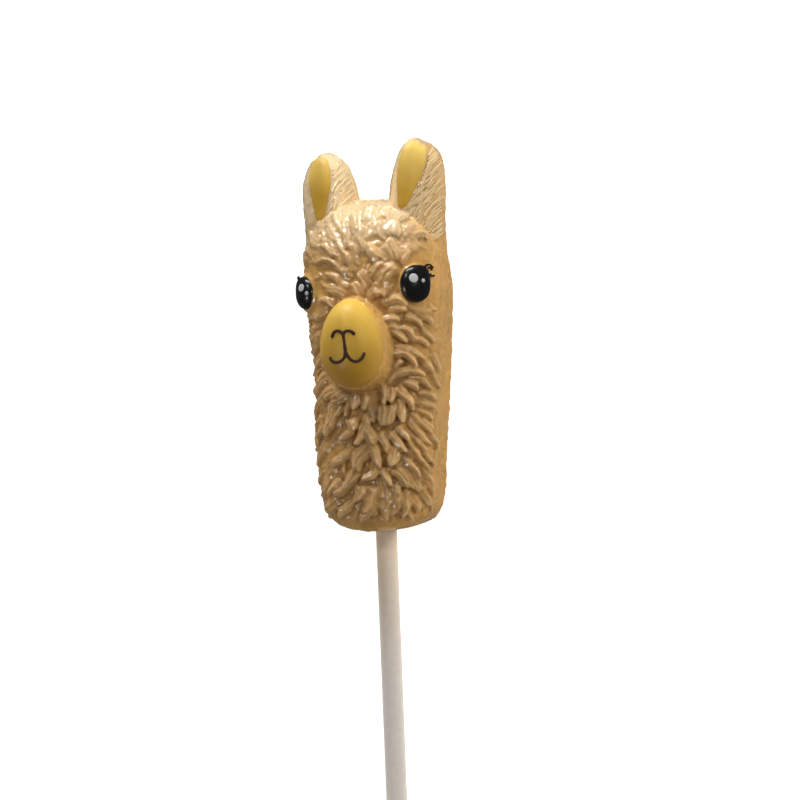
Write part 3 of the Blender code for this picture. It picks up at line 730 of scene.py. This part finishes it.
def clear_of_face(across, height):
    """False where a strand would lie on the muzzle or an eye."""
    rise = height - MUZZLE_HEIGHT
    if math.hypot(across / (MUZZLE_HALF_WIDTH + 0.3), rise / (MUZZLE_HALF_LENGTH + 0.3)) < 1.0:
        return False
    point = place(*front_point(height, front_turn(height, across)))
    for name in SIDES:
        local = EYE_INVERSE[name] @ point / MM
        if math.hypot(local.x / EYE_ROOM[0], local.y / EYE_ROOM[1]) < 1.0 and local.z > -4.0:
            return False
    return True


def near_a_tuft(across, height, margin):
    for width, _, _, line in KEY_TUFTS:
        for (ax, ay), (bx, by) in zip(line, line[1:]):
            span = (bx - ax) ** 2 + (by - ay) ** 2
            share = ((across - ax) * (bx - ax) + (height - ay) * (by - ay)) / max(span, 1e-6)
            share = clamp(share)
            gap = math.hypot(across - ax - share * (bx - ax), height - ay - share * (by - ay))
            if gap < 0.5 * width * margin:
                return True
    return False


def key_tufts(master, sizes):
    """The tufts whose places are given, each a bundle of strands."""
    draw = random.Random(sizes.seed + 40)
    made = []
    for width, strands, lift, line in KEY_TUFTS:
        made += tuft(master, draw, 1.2 * width, max(strands, round(width / 1.3)), lift, line)
    return made


def tuft(master, draw, width, strands, lift, line):
    """A bundle of strands, spread at the root and run together into an uneven tip."""
    round_side = 1.0 - 0.5 * max(abs(front_turn(line[-1][1], line[-1][0])) - 0.5, 0.0) / 0.5
    swell = min(fleece_swell(line[-1][1]), 1.0) * round_side
    half = 0.5 * width / strands * (draw.uniform(1.3, 1.75) if strands > 1 else 1.1)
    first, second = Vector(line[0]), Vector(line[1])
    line = (tuple(first + (first - second) * 0.35), *line)
    made = []
    for i in range(strands):
        offset = (i - 0.5 * (strands - 1)) * width / strands
        middle = 1.0 - abs(2.0 * i / (strands - 1) - 1.0) if strands > 1 else 1.0
        made.append(
            lay_strand(
                master, line, half * draw.uniform(0.9, 1.15),
                (0.72 + 0.6 * half) * (0.35 + 0.65 * swell) * draw.uniform(0.85, 1.15),
                (0.1 + lift * (0.6 + 0.3 * middle)) * swell,
                offset, draw.uniform(-0.95, -0.35), draw.uniform(0.8, 1.0), 0.6,
            )
        )
    return made


def fleece_swell(height):
    return along(FLEECE_SWELL, height)[0]


def fleece_edge(height):
    return along(FLEECE_EDGE, height)[0]


def stagger(i, row, count):
    """The i-th of count turns across a row; every second row is half a step on."""
    return -1.0 + 2.0 * (i + 0.5 * (row % 2) + 0.25) / count


def loose_strands(master, sizes):
    """Strands that follow the comb of the fleece, under and between the key tufts."""
    draw = random.Random(sizes.seed)
    half = 0.5 * sizes.strand / MM
    rise = sizes.strand_rise / MM
    made = []
    height = FLEECE_FOOT
    row = 0
    while height < HEAD_HEIGHT - 0.3:
        left, right, _ = along(HEAD_OUTLINE, height)
        count = max(int(round(1.3 * (left + right) / FLEECE_PITCH)), 3)
        for i in range(count):
            turn = 0.98 * stagger(i, row, count) + draw.uniform(-0.35, 0.35) / count
            at_height = max(height + draw.uniform(-0.7, 0.7), FLEECE_FOOT)
            size = draw.choice(STRAND_SIZES) * draw.uniform(0.9, 1.1)
            twist, curl = draw.uniform(-0.65, 0.65), draw.uniform(-0.35, 0.35)
            if not FLEECE_LEFT_EDGE <= turn <= fleece_edge(at_height):
                continue
            swell = fleece_swell(at_height)
            length = (3.0 + 1.5 * swell) * (0.4 + 0.6 * size)
            line = comb_line(front_point(at_height, turn).x, at_height, length, twist, curl)
            if not all(clear_of_face(*point) for point in line[1:]):
                continue
            edge = swell * (1.0 - 0.55 * max(abs(turn) - 0.5, 0.0) / 0.5)
            if near_a_tuft(*line[-1], 1.2) or near_a_tuft(*line[2], 1.0):
                edge *= 0.5
            width = half * size * (0.7 + 0.3 * swell)
            made.append(lay_strand(master, line, width, rise * edge, 0.7 * edge))
        slope = along(HEAD_OUTLINE, height + 1.0)[2] - along(HEAD_OUTLINE, height)[2]
        height += FLEECE_ROW / math.hypot(1.0, slope)
        row += 1
    return made


def loose_tufts(master, sizes):
    """Bolder tufts where no key tuft lies, so that the fleece stays uneven all over."""
    draw = random.Random(sizes.seed + 7)
    made = []
    height = 5.0
    row = 0
    while height < 56.0:
        for i in range(LOOSE_TUFTS_ACROSS):
            turn = 0.95 * stagger(i, row, LOOSE_TUFTS_ACROSS) + draw.uniform(-0.06, 0.06)
            at_height = height + draw.uniform(-1.0, 1.0)
            width = draw.uniform(1.7, 2.9)
            twist, curl = draw.uniform(-0.35, 0.35), draw.uniform(-0.3, 0.3)
            if turn > fleece_edge(at_height) - 0.05:
                continue
            across = front_point(at_height, turn).x
            line = comb_line(across, at_height, draw.uniform(3.6, 5.2), twist, curl)
            if near_a_tuft(*line[-1], 1.5) or near_a_tuft(*line[2], 1.4):
                continue
            if all(clear_of_face(*point) for point in line[1:]):
                lift = fleece_swell(at_height) * draw.uniform(0.6, 0.95)
                made += tuft(master, draw, width, 2, lift, line)
        height += 3.4
        row += 1
    return made


def comb_line(across, height, length, twist, curl, steps=4):
    """A line that starts here and runs with the comb, turned by twist and bent by curl."""
    line = [(across, height)]
    for i in range(steps):
        turn = front_turn(height, across)
        _, right, up, _ = front_frame(height, turn)
        comb = comb_direction(across, height)
        angle = math.atan2(comb.y, comb.x) + twist + curl * (i - 1)
        step = (right * math.cos(angle) + up * math.sin(angle)) * length / steps
        across, height = across + step.x, clamp(height + step.y, COMB_LOWEST, COMB_HIGHEST)
        line.append((across, height))
    return tuple(line)


def lining_reach():
    """How far below the tip an ear's lining starts and ends."""
    return LINING_OUTLINE[0][0] - 0.25, LINING_OUTLINE[-1][0]


def lining_span(name, below_tip):
    """The shares of the ear's width between which its lining lies."""
    first, last = lining_reach()
    down = clamp((below_tip - first) / (last - first))
    left_out, outer, _ = along(EAR_OUTLINE, below_tip)
    middle = LINING_MIDDLE * (outer - left_out) + LINING_FOOT_SHIFT[name] * down**2
    half = along(LINING_OUTLINE, below_tip)[0]
    half = half * min(1.0, 6.0 * math.sin(math.pi * down)) + 0.15
    inner, outer = ear_edges(name, below_tip)
    return (middle - half) / (outer - inner), (middle + half) / (outer - inner)


def ear_hairs(name):
    """Fine combed hairs on an ear's flank, slanting up to the right beside the lining."""
    draw = random.Random(11 + int(SIDES[name]))
    master = strand_master("hair", 8, 7, 3.0)
    hairs = []
    for row in range(EAR_HAIR_ROWS):
        for column in EAR_HAIRS[name]:
            below_tip = EAR_HAIRS_TOP + row + draw.uniform(-0.4, 0.4)
            start = column + draw.uniform(-0.04, 0.04)
            length = draw.uniform(1.3, 3.1)
            slant = draw.uniform(0.45, 0.8)
            thick = draw.uniform(0.75, 1.1)
            inner, outer = ear_edges(name, below_tip)
            foot = below_tip + 0.5 * length
            if foot < lining_reach()[1] - 0.5:
                low, high = lining_span(name, foot)
                margin = (0.5 * slant * length + 0.3) / (outer - inner)
                clear = max(start, high + margin) if name == "right" else min(start, low - margin)
                if abs(clear - start) > 0.1:
                    continue
                start = clear
            if not 0.03 < start < 0.97:
                continue

            def rule(x, y, z):
                run = length * (y - 0.5)
                slide = SIDES[name] * (slant * run + 0.15 * thick * x) / (outer - inner)
                share = clamp(start + slide, 0.01, 0.995)
                spot = ear_point(name, max(below_tip - run + 0.13 * thick * x, 0.25), share)
                return spot + ear_normal(name, below_tip, share) * ((0.2 * thick * z - 0.03) * MM)

            hairs.append(shape(copy_of(master), rule))
    bpy.data.objects.remove(master)
    return turn_outward(join(hairs, f"ear_hairs_{name}"))


def ear_normal(name, below_tip, share):
    """The way out of an ear's front, from a small step across it."""
    step = 0.03 if share < 0.5 else -0.03
    across = ear_point(name, below_tip, share + step) - ear_point(name, below_tip, share)
    across *= SIDES[name] * math.copysign(1.0, step)
    return across.cross(Vector((0.0, 1.0, 0.0))).normalized()


def smooth_over(values, edges, count, times):
    """Averages a value over each vertex's neighbours, several times."""
    ends = np.concatenate((edges[:, 0], edges[:, 1]))
    others = np.concatenate((edges[:, 1], edges[:, 0]))
    degree = np.maximum(np.bincount(ends, minlength=count), 1)
    for _ in range(times):
        values = np.bincount(ends, weights=values[others], minlength=count) / degree
    return values


def mark_relief(obj, base):
    """Stores how proud the skin stands of the smooth head, and of what lies round it."""
    vertices = [v.co for v in base.data.vertices]
    tree = BVHTree.FromPolygons(vertices, [tuple(p.vertices) for p in base.data.polygons])
    relief = np.zeros(len(obj.data.vertices))
    for i, vertex in enumerate(obj.data.vertices):
        spot, normal, _, _ = tree.find_nearest(vertex.co)
        relief[i] = (vertex.co - spot).dot(normal) / MM
    edges = np.empty(len(obj.data.edges) * 2, dtype=np.int64)
    obj.data.edges.foreach_get("vertices", edges)
    edges = edges.reshape(-1, 2)
    around = smooth_over(relief, edges, len(relief), 40)
    # proud drives the painted shade in the creases and the painted highlight on the raised tips.
    for name, values in (("relief", relief), ("proud", relief - around)):
        attribute = obj.data.attributes.new(name, "FLOAT", "POINT")
        attribute.data.foreach_set("value", values.astype(np.float32))


def fleecy_head(sizes):
    """The smooth head with all its fleece, melted into one skin and marked for its material."""
    base = [core_piece(), snout_piece()]
    for name in SIDES:
        base.append(ear_piece(name))
        base.append(turn_outward(ellipsoid(f"bed_{name}", EYE_BED_RADII, eye_matrix(name), 48, 24)))
    head = join(base, "fleecy_head")
    smooth_head = copy_of(head)
    apply_modifier(smooth_head, "REMESH", mode="VOXEL", voxel_size=SMOOTH_GRAIN)

    lock = strand_master("lock", 40, 16, 4.0, 3)
    strand = strand_master("strand", 10, 10, 4.0)
    pieces = key_tufts(lock, sizes) + loose_tufts(lock, sizes) + loose_strands(strand, sizes)
    head = join([head, *pieces], "fleecy_head")
    for master in (lock, strand):
        bpy.data.objects.remove(master)
    apply_modifier(
        head, "REMESH", mode="VOXEL", voxel_size=sizes.skin * 1.0
    )
    apply_modifier(head, "SMOOTH", factor=0.5, iterations=4)
    dent = bpy.data.textures.new("dent", "CLOUDS")
    dent.noise_scale, dent.noise_depth = 0.0011, 1
    apply_modifier(
        head, "DISPLACE", texture=dent, texture_coords="LOCAL", strength=0.0003, mid_level=0.5,
    )
    points = points_of(head)
    points[:, 2] = np.maximum(points[:, 2], 0.0)
    set_points(head, points)
    faces = len(head.data.polygons) * 2
    if faces > MOST_TRIANGLES:
        apply_modifier(head, "DECIMATE", ratio=MOST_TRIANGLES / faces)
    mark_relief(head, smooth_head)
    bpy.data.objects.remove(smooth_head)
    return head


def muzzle_dome():
    """The yellow cap: a stack of shrinking egg outlines that closes over the snout."""

    def rule(x, y, z):
        flat = math.hypot(x, y)
        across, up = egg(math.atan2(y, x), -MUZZLE_HALF_WIDTH * (1.0 - flat))
        if flat < 1e-4:
            across = up = 0.0
        z = SNOUT_RIM_Z + MUZZLE_CAP_RISE * max(z, 0.0)
        return place(across, MUZZLE_HEIGHT + up, z)

    return turn_outward(shape(ball("muzzle_dome", 96, 48), rule))


def dome_height(across, up):
    """Height of the yellow dome's skin over a point near its middle, in millimetres."""
    low, high = 0.0, 1.0
    angle = math.atan2(up / MUZZLE_HALF_LENGTH, across / MUZZLE_HALF_WIDTH)
    for _ in range(24):
        flat = 0.5 * (low + high)
        x, y = egg(angle, -MUZZLE_HALF_WIDTH * (1.0 - flat))
        if math.hypot(x, y) < math.hypot(across, up):
            low = flat
        else:
            high = flat
    return SNOUT_RIM_Z + MUZZLE_CAP_RISE * math.sqrt(max(1.0 - flat * flat, 0.0))


def painted_line(name, points, half_width, rise):
    """A round-ended stroke of paint through these points, given in metres, on a surface."""
    rows = [tuple(point) for point in points]
    half_width, rise = half_width * MM, rise * MM

    def rule(x, y, z):
        ease = 0.5 - 0.5 * math.cos(math.pi * y)
        spot = Vector(along_line(rows, ease))
        ahead = Vector(along_line(rows, min(ease + 0.01, 1.0)))
        behind = Vector(along_line(rows, max(ease - 0.01, 0.0)))
        forward = (ahead - behind).normalized()
        side = forward.cross(Vector((0.0, 0.0, 1.0))).normalized()
        up = side.cross(forward)
        end = math.sqrt(max(1.0 - (2.0 * y - 1.0) ** 8, 0.0))
        width = half_width * (0.25 + 0.75 * end) * (1.0 + 0.12 * math.sin(9.0 * y + len(name)))
        return spot + side * x * width + up * z * rise * (0.3 + 0.7 * end)

    return turn_outward(shape(rod(name, 12, 28), rule))


def mouth_lines():
    made = []
    for i, line in enumerate(MOUTH_LINES):
        points = [place(a, MUZZLE_HEIGHT + u, dome_height(a, u)) for a, u in line]
        made.append(painted_line(f"mouth_{i}", points, PAINT_HALF_WIDTH, PAINT_RISE))
    return join(made, "mouth_lines")


def ear_lining(name):
    """The yellow strip set into the ear's front, widest near the tip and softly pillowed."""
    first, last = lining_reach()

    def rule(x, y, z):
        share = math.acos(clamp(y, -1.0)) / math.pi
        below_tip = first + (last - first) * share
        ring = math.sin(math.pi * share)
        radius = max(ring, 1e-6)
        low, high = lining_span(name, below_tip)
        spot = 0.5 * (low + high) + 0.5 * (high - low) * (x / radius)
        lift = 0.42 * clamp(z / radius) ** 0.4 * min(1.0, 4.0 * ring) - 0.14
        if z < 0.0:
            lift = -0.12 - 1.1 * min(1.0, 3.0 * ring) * -z / radius
        return ear_point(name, below_tip, spot, lift)

    return turn_outward(shape(ball(f"lining_{name}", 48, 40), rule))


def eye_pieces(name):
    """An eye with a fuller outer corner, its painted lights, and its lashes."""
    matrix = eye_matrix(name)
    lifted = matrix @ Matrix.Translation((0.0, 0.0, EYE_LIFT * MM))

    def rule(x, y, z):
        angle = math.degrees(math.atan2(y, SIDES[name] * x))
        corner = 1.0 + 0.14 * math.exp(-(((angle - 47.0) / 24.0) ** 2))
        corner += 0.05 * math.exp(-(((angle + 42.0) / 24.0) ** 2))
        wide, tall = (size * corner for size in EYE_SIZES[name])
        spot = Vector((x * EYE_RADII[0] * wide, y * EYE_RADII[1] * tall, z * EYE_RADII[2]))
        return lifted @ (spot * MM)

    eye = turn_outward(shape(ball(f"eye_dome_{name}", 96, 48), rule))
    glints, lashes = [], []
    wide, tall = (radius * size for radius, size in zip(EYE_RADII, EYE_SIZES[name]))
    for i, (across, up, radius) in enumerate(GLINTS[name]):
        share = (across / wide) ** 2 + (up / tall) ** 2
        z = EYE_LIFT + EYE_RADII[2] * math.sqrt(1.0 - share)
        spot = matrix @ Matrix.Translation(Vector((across, up, z)) * MM)
        tilt = Matrix.Rotation(0.25 * across, 4, "Y") @ Matrix.Rotation(-0.22 * up, 4, "X")
        glints.append(ellipsoid(f"glint_{i}", (radius, radius, 0.14), spot @ tilt, 32, 16))
    for i, line in enumerate(LASHES):
        points = []
        for across, up in line:
            across, up = across * EYE_SIZES[name][0], up * EYE_SIZES[name][1]
            spot = Vector((SIDES[name] * across, up, 0.62 - 0.75 * (across - 2.5)))
            points.append(matrix @ (spot * MM))
        lashes.append(painted_line(f"lash_{i}", points, LASH_RADIUS, LASH_RADIUS))
    return eye, join(glints, f"eye_glints_{name}"), join(lashes, f"eye_lashes_{name}")


def paper_stick():
    """A straight rolled stick with both ends a little softened."""
    low, high = STICK_FOOT_HEIGHT, STICK_TOP_HEIGHT

    def rule(x, y, z):
        from_end = min(y, 1.0 - y) * (high - low)
        radius = STICK_RADIUS - STICK_CHAMFER * max(1.0 - from_end / STICK_CHAMFER, 0.0)
        across, axis_z = STICK_AXIS
        return place(across + x * radius, low + (high - low) * y, axis_z + z * radius)

    return turn_outward(shape(rod("paper_stick", 64, 48), rule))


def add_node(tree, kind, inputs=(), **settings):
    """A node with these settings, whose inputs take values or other nodes' outputs."""
    node = tree.nodes.new("ShaderNode" + kind)
    for key, value in settings.items():
        setattr(node, key, value)
    for key, value in dict(inputs).items():
        socket = node.inputs[key]
        if isinstance(value, bpy.types.NodeSocket):
            tree.links.new(value, socket)
        else:
            socket.default_value = (*value, 1.0) if socket.type == "RGBA" else value
    return node


def map_range(tree, value, span, ends=(0.0, 1.0)):
    """A value of this span, spread between these ends."""
    inputs = {"Value": value, "From Min": span[0], "From Max": span[1]}
    inputs.update({"To Min": ends[0], "To Max": ends[1]})
    return add_node(tree, "MapRange", inputs).outputs["Result"]


def attribute_share(tree, name, low, high):
    """An attribute of the mesh, spread from 0 at low to 1 at high."""
    attribute = add_node(tree, "Attribute", attribute_name=name)
    return map_range(tree, attribute.outputs["Fac"], (low, high))


def share_along_y(tree, span, most=1.0, fade=None):
    """A share that rises from 0 to most between two heights of the piece, in metres of Y.

    With fade, given as (X from, X to, most there), it rises less towards the right side.
    """
    coords = add_node(tree, "TexCoord").outputs["Object"]
    split = add_node(tree, "SeparateXYZ", {"Vector": coords}).outputs
    if fade:
        most = map_range(tree, split["X"], fade[:2], (most, fade[2]))
    return map_range(tree, split["Y"], span, (0.0, most))


def mix_colours(tree, share, first, second):
    inputs = {"Factor": share, "A": first, "B": second}
    return add_node(tree, "Mix", inputs, data_type="RGBA").outputs["Result"]


def mottle_group():
    """Uneven candy: cloudy colour, small pits, and a gloss that wanders."""
    group = bpy.data.node_groups.new("candy_mottle", "ShaderNodeTree")
    sockets = (
        ("INPUT", "Colour", "Color"), ("INPUT", "Cloud", "Float"), ("INPUT", "Scale", "Float"),
        ("INPUT", "Roughness", "Float"), ("INPUT", "Pitting", "Float"),
        ("OUTPUT", "Colour", "Color"), ("OUTPUT", "Roughness", "Float"),
        ("OUTPUT", "Normal", "Vector"),
    )
    for side, label, kind in sockets:
        group.interface.new_socket(label, in_out=side, socket_type="NodeSocket" + kind)
    given = group.nodes.new("NodeGroupInput").outputs
    results = group.nodes.new("NodeGroupOutput").inputs
    coords = add_node(group, "TexCoord").outputs["Object"]
    cloud = {"Vector": coords, "Scale": given["Scale"], "Detail": 3.0}
    cloud = add_node(group, "TexNoise", cloud).outputs["Fac"]
    ends = [
        add_node(group, "Math", {0: 1.0, 1: given["Cloud"]}, operation=kind).outputs[0]
        for kind in ("SUBTRACT", "ADD")
    ]
    swing = map_range(group, cloud, (0.3, 0.7), ends)
    pits = add_node(group, "TexNoise", {"Vector": coords, "Scale": 2600.0, "Detail": 2.0})
    bump = {"Strength": given["Pitting"], "Distance": 0.00004, "Height": pits.outputs["Fac"]}
    made = (
        ("Colour", "VectorMath", {0: given["Colour"], "Scale": swing}, {"operation": "SCALE"}),
        ("Roughness", "Math", {0: given["Roughness"], 1: swing}, {"operation": "MULTIPLY"}),
        ("Normal", "Bump", bump, {}),
    )
    for label, kind, inputs, settings in made:
        group.links.new(add_node(group, kind, inputs, **settings).outputs[0], results[label])
    return group


def shader_material(name, **settings):
    """A material whose shader takes these values; a _ in a name stands for a space."""
    material = bpy.data.materials.new(name)
    material.use_nodes = True
    shader = material.node_tree.nodes["Principled BSDF"]
    for key, value in settings.items():
        shader.inputs[key.replace("_", " ")].default_value = value
    return material, material.node_tree, shader


def mottled(name, colour, mottling, **settings):
    """A material under the mottle group, whose values are (cloud, scale, roughness, pitting).

    The colour is a plain one, or a function that makes its nodes in the material's tree.
    """
    material, tree, shader = shader_material(name, **settings)
    inputs = dict(zip(("Cloud", "Scale", "Roughness", "Pitting"), mottling))
    inputs["Colour"] = colour(tree) if callable(colour) else colour
    group = bpy.data.node_groups.get("candy_mottle") or mottle_group()
    node = add_node(tree, "Group", inputs, node_tree=group)
    for label, socket in (("Colour", "Base Color"), ("Roughness",) * 2, ("Normal",) * 2):
        tree.links.new(node.outputs[label], shader.inputs[socket])
    return material


def cream_candy(colours):
    """Moulded cream candy: painted shade darkens the creases, a painted highlight lightens the
    raised tips, painted light pales the crown and ears, and it is golden where smooth.
    """

    def colour(tree):
        # Painted shade and highlight: the crease colour darkens the hollows and the tip colour
        # lightens the raised strands.
        ramp = add_node(tree, "ValToRGB", {"Fac": attribute_share(tree, "proud", -0.55, 0.65)})
        stops = ramp.color_ramp.elements
        stops[0].color, stops[1].color = (*colours.crease_shade, 1.0), (*colours.tip, 1.0)
        stops.new(0.45).color = (*colours.cream, 1.0)
        woolly = attribute_share(tree, "relief", 0.05, 0.35)
        candy = mix_colours(tree, woolly, colours.golden, ramp.outputs["Color"])
        # Painted light: paler toward the crown and ears, and less so toward the right ear's shaded
        # flank.
        top = share_along_y(tree, (0.019, 0.030), 0.58, (0.0075, 0.0115, 0.18))
        return mix_colours(tree, top, candy, colours.lit_pale)

    return mottled(
        "cream_candy", colour, (0.12, 220.0, 0.28, 0.3), Coat_Weight=1.0, Coat_Roughness=0.16,
        IOR=1.45, Subsurface_Weight=0.8, Subsurface_Radius=(1.0, 0.8, 0.6),
        Subsurface_Scale=0.0009,
    )


def yellow_candy(name, colour, deep, span):
    """Satin yellow candy, lighter at the first height and darker at the second, in metres of Y:
    painted light and shade from the light above.
    """
    return mottled(
        name, lambda tree: mix_colours(tree, share_along_y(tree, span), colour, deep),
        (0.08, 260.0, 0.5, 0.4), Coat_Weight=0.25, Coat_Roughness=0.35, IOR=1.4,
        Subsurface_Weight=0.2, Subsurface_Radius=(1.0, 0.6, 0.15), Subsurface_Scale=0.0012,
    )


def plain_material(name, colour, roughness, cloud=0.05, pitting=0.1, coat=0.0):
    """Paint, glaze or combed candy of one colour."""
    return mottled(
        name, colour, (cloud, 400.0, roughness, pitting), Coat_Weight=coat, Coat_Roughness=0.05
    )


def paper_material(colours):
    """Rolled white paper, warmer in colour towards its top by the candy."""

    def colour(tree):
        share = share_along_y(tree, (-0.060, -0.031))
        return mix_colours(tree, share, colours.paper, colours.paper_near_candy)

    return mottled("paper_stick", colour, (0.03, 900.0, 0.7, 0.5), IOR=1.4)


class LOLLIPOP_OT_head(Operator):
    """Moulds the candy head with its ears, snout, fleece and ear hairs"""

    bl_idname = "lollipop.head"
    bl_label = "Candy head"

    def execute(self, context):
        colours = context.scene.lollipop_colours
        head = fleecy_head(context.scene.lollipop_sizes)
        finish_piece(head, cream_candy(colours), "candy_head", 180.0)
        # The two ears' hairs differ only by painted light on the left and painted shade on the
        # right.
        for name, colour in (("left", colours.combed_lit_left), ("right", colours.combed_shaded_right)):
            combed = plain_material(f"combed_candy_{name}", colour, 0.25, 0.1, 0.1, 0.8)
            finish_piece(ear_hairs(name), combed, None, 180.0)
        return {"FINISHED"}


class LOLLIPOP_OT_muzzle(Operator):
    """Sets the yellow muzzle on the snout and paints its mouth"""

    bl_idname = "lollipop.muzzle"
    bl_label = "Muzzle and mouth"

    def execute(self, context):
        colours = context.scene.lollipop_colours
        # The muzzle is painted darker toward its foot: painted shade.
        yellow = yellow_candy("yellow_candy", colours.yellow, colours.shaded_chin, (0.011, -0.003))
        finish_piece(muzzle_dome(), yellow, "muzzle", 80.0)
        brown = plain_material("brown_paint", colours.brown, 0.8)
        finish_piece(mouth_lines(), brown)
        return {"FINISHED"}


class LOLLIPOP_OT_eyes(Operator):
    """Sets both eyes with their painted lights and lashes"""

    bl_idname = "lollipop.eyes"
    bl_label = "Eyes"

    def execute(self, context):
        colours = context.scene.lollipop_colours
        black = plain_material("black_glaze", colours.black, 0.25, 0.02, 0.05, 0.15)
        white = plain_material("white_paint", colours.white, 0.5)
        for name in SIDES:
            eye, glints, lashes = eye_pieces(name)
            finish_piece(eye, black, f"eye_{name}")
            finish_piece(glints, white)
            finish_piece(lashes, black)
        return {"FINISHED"}


class LOLLIPOP_OT_linings(Operator):
    """Sets the yellow linings into the ears"""

    bl_idname = "lollipop.linings"
    bl_label = "Ear linings"

    def execute(self, context):
        colours = context.scene.lollipop_colours
        # The lining is painted paler toward the tip: painted light.
        span = (0.0415, 0.032)
        material = yellow_candy("yellow_lining", colours.lit_lining_tip, colours.lining, span)
        for name in SIDES:
            finish_piece(ear_lining(name), material, f"ear_lining_{name}", 80.0)
        return {"FINISHED"}


class LOLLIPOP_OT_stick(Operator):
    """Rolls the paper stick"""

    bl_idname = "lollipop.stick"
    bl_label = "Paper stick"

    def execute(self, context):
        material = paper_material(context.scene.lollipop_colours)
        finish_piece(paper_stick(), material, "stick", 40.0)
        return {"FINISHED"}


def area_light(name, location, aim_y, size, energy, glossy):
    light = bpy.data.lights.new(name, "AREA")
    light.shape = "RECTANGLE"
    light.size, light.size_y = size
    light.energy = energy
    obj = bpy.data.objects.new(name, light)
    bpy.context.scene.collection.objects.link(obj)
    obj.location = location
    direction = Vector((0.0, aim_y, 0.01)) - Vector(location)
    obj.rotation_mode = "QUATERNION"
    obj.rotation_quaternion = direction.to_track_quat("-Z", "Y")
    obj.visible_glossy = glossy


def photo_camera():
    """The camera above the face, turned a little to the head's right and tipped to its foot."""
    psi, pitch, roll = (math.radians(angle) for angle in CAMERA_ANGLES)
    flat = math.cos(pitch)
    back = Vector((math.sin(psi) * flat, math.sin(pitch), math.cos(psi) * flat))
    right = Vector((0.0, 1.0, 0.0)).cross(back).normalized()
    up = back.cross(right)
    across = right * math.cos(roll) - up * math.sin(roll)
    above = right * math.sin(roll) + up * math.cos(roll)
    aim = Vector(CAMERA_AIM) + across * CAMERA_SLIDE[0] + above * CAMERA_SLIDE[1]
    data = bpy.data.cameras.new("camera")
    data.lens, data.sensor_width = CAMERA_LENS, 36.0
    data.clip_start, data.clip_end = 0.01, 20.0
    camera = bpy.data.objects.new("camera", data)
    bpy.context.scene.collection.objects.link(camera)
    turn = Matrix((across, above, back)).transposed().to_4x4()
    camera.matrix_world = Matrix.Translation(aim + back * CAMERA_DISTANCE) @ turn
    bpy.context.scene.camera = camera


class LOLLIPOP_OT_stage(Operator):
    """Lays out the white table, the soft lights and the camera"""

    bl_idname = "lollipop.stage"
    bl_label = "Table, lights and camera"

    def execute(self, context):
        deselect_all()
        bpy.ops.mesh.primitive_plane_add(size=6.0, location=(0.0, 0.0, -0.0001))
        table = context.object
        table.name = "table"
        material, _, _ = shader_material(
            "white_table", Roughness=0.8, Base_Color=(0.93, 0.93, 0.93, 1.0),
            Emission_Color=(1.0, 1.0, 1.0, 1.0), Emission_Strength=0.75,
        )
        table.data.materials.append(material)
        table.visible_glossy = False
        for light in LIGHTS:
            area_light(*light)
        world = bpy.data.worlds.new("studio")
        context.scene.world = world
        world.use_nodes = True
        background = world.node_tree.nodes["Background"]
        background.inputs["Color"].default_value = (1.0, 1.0, 1.0, 1.0)
        background.inputs["Strength"].default_value = 0.1
        photo_camera()
        context.scene.view_settings.view_transform = "Standard"
        return {"FINISHED"}


class LOLLIPOP_PT_panel(Panel):
    bl_label = "Alpaca lollipop"
    bl_idname = "LOLLIPOP_PT_panel"
    bl_space_type = "VIEW_3D"
    bl_region_type = "UI"
    bl_category = "Lollipop"

    def draw(self, context):
        layout = self.layout
        for group in (context.scene.lollipop_sizes, context.scene.lollipop_colours):
            box = layout.box()
            for key in group.__annotations__:
                box.prop(group, key)
        for step in STEPS:
            layout.operator(step.bl_idname)


STEPS = (
    LOLLIPOP_OT_head,
    LOLLIPOP_OT_muzzle,
    LOLLIPOP_OT_eyes,
    LOLLIPOP_OT_linings,
    LOLLIPOP_OT_stick,
    LOLLIPOP_OT_stage,
)
CLASSES = (LollipopSizes, LollipopColours, *STEPS, LOLLIPOP_PT_panel)
EYE_INVERSE = {name: eye_matrix(name).inverted() for name in SIDES}


def register():
    for cls in CLASSES:
        bpy.utils.register_class(cls)
    bpy.types.Scene.lollipop_sizes = PointerProperty(type=LollipopSizes)
    bpy.types.Scene.lollipop_colours = PointerProperty(type=LollipopColours)


def unregister():
    del bpy.types.Scene.lollipop_sizes
    del bpy.types.Scene.lollipop_colours
    for cls in reversed(CLASSES):
        bpy.utils.unregister_class(cls)


def main():
    register()
    bpy.ops.lollipop.head()
    bpy.ops.lollipop.muzzle()
    bpy.ops.lollipop.eyes()
    bpy.ops.lollipop.linings()
    bpy.ops.lollipop.stick()
    bpy.ops.lollipop.stage()


if __name__ == "__main__":
    main()
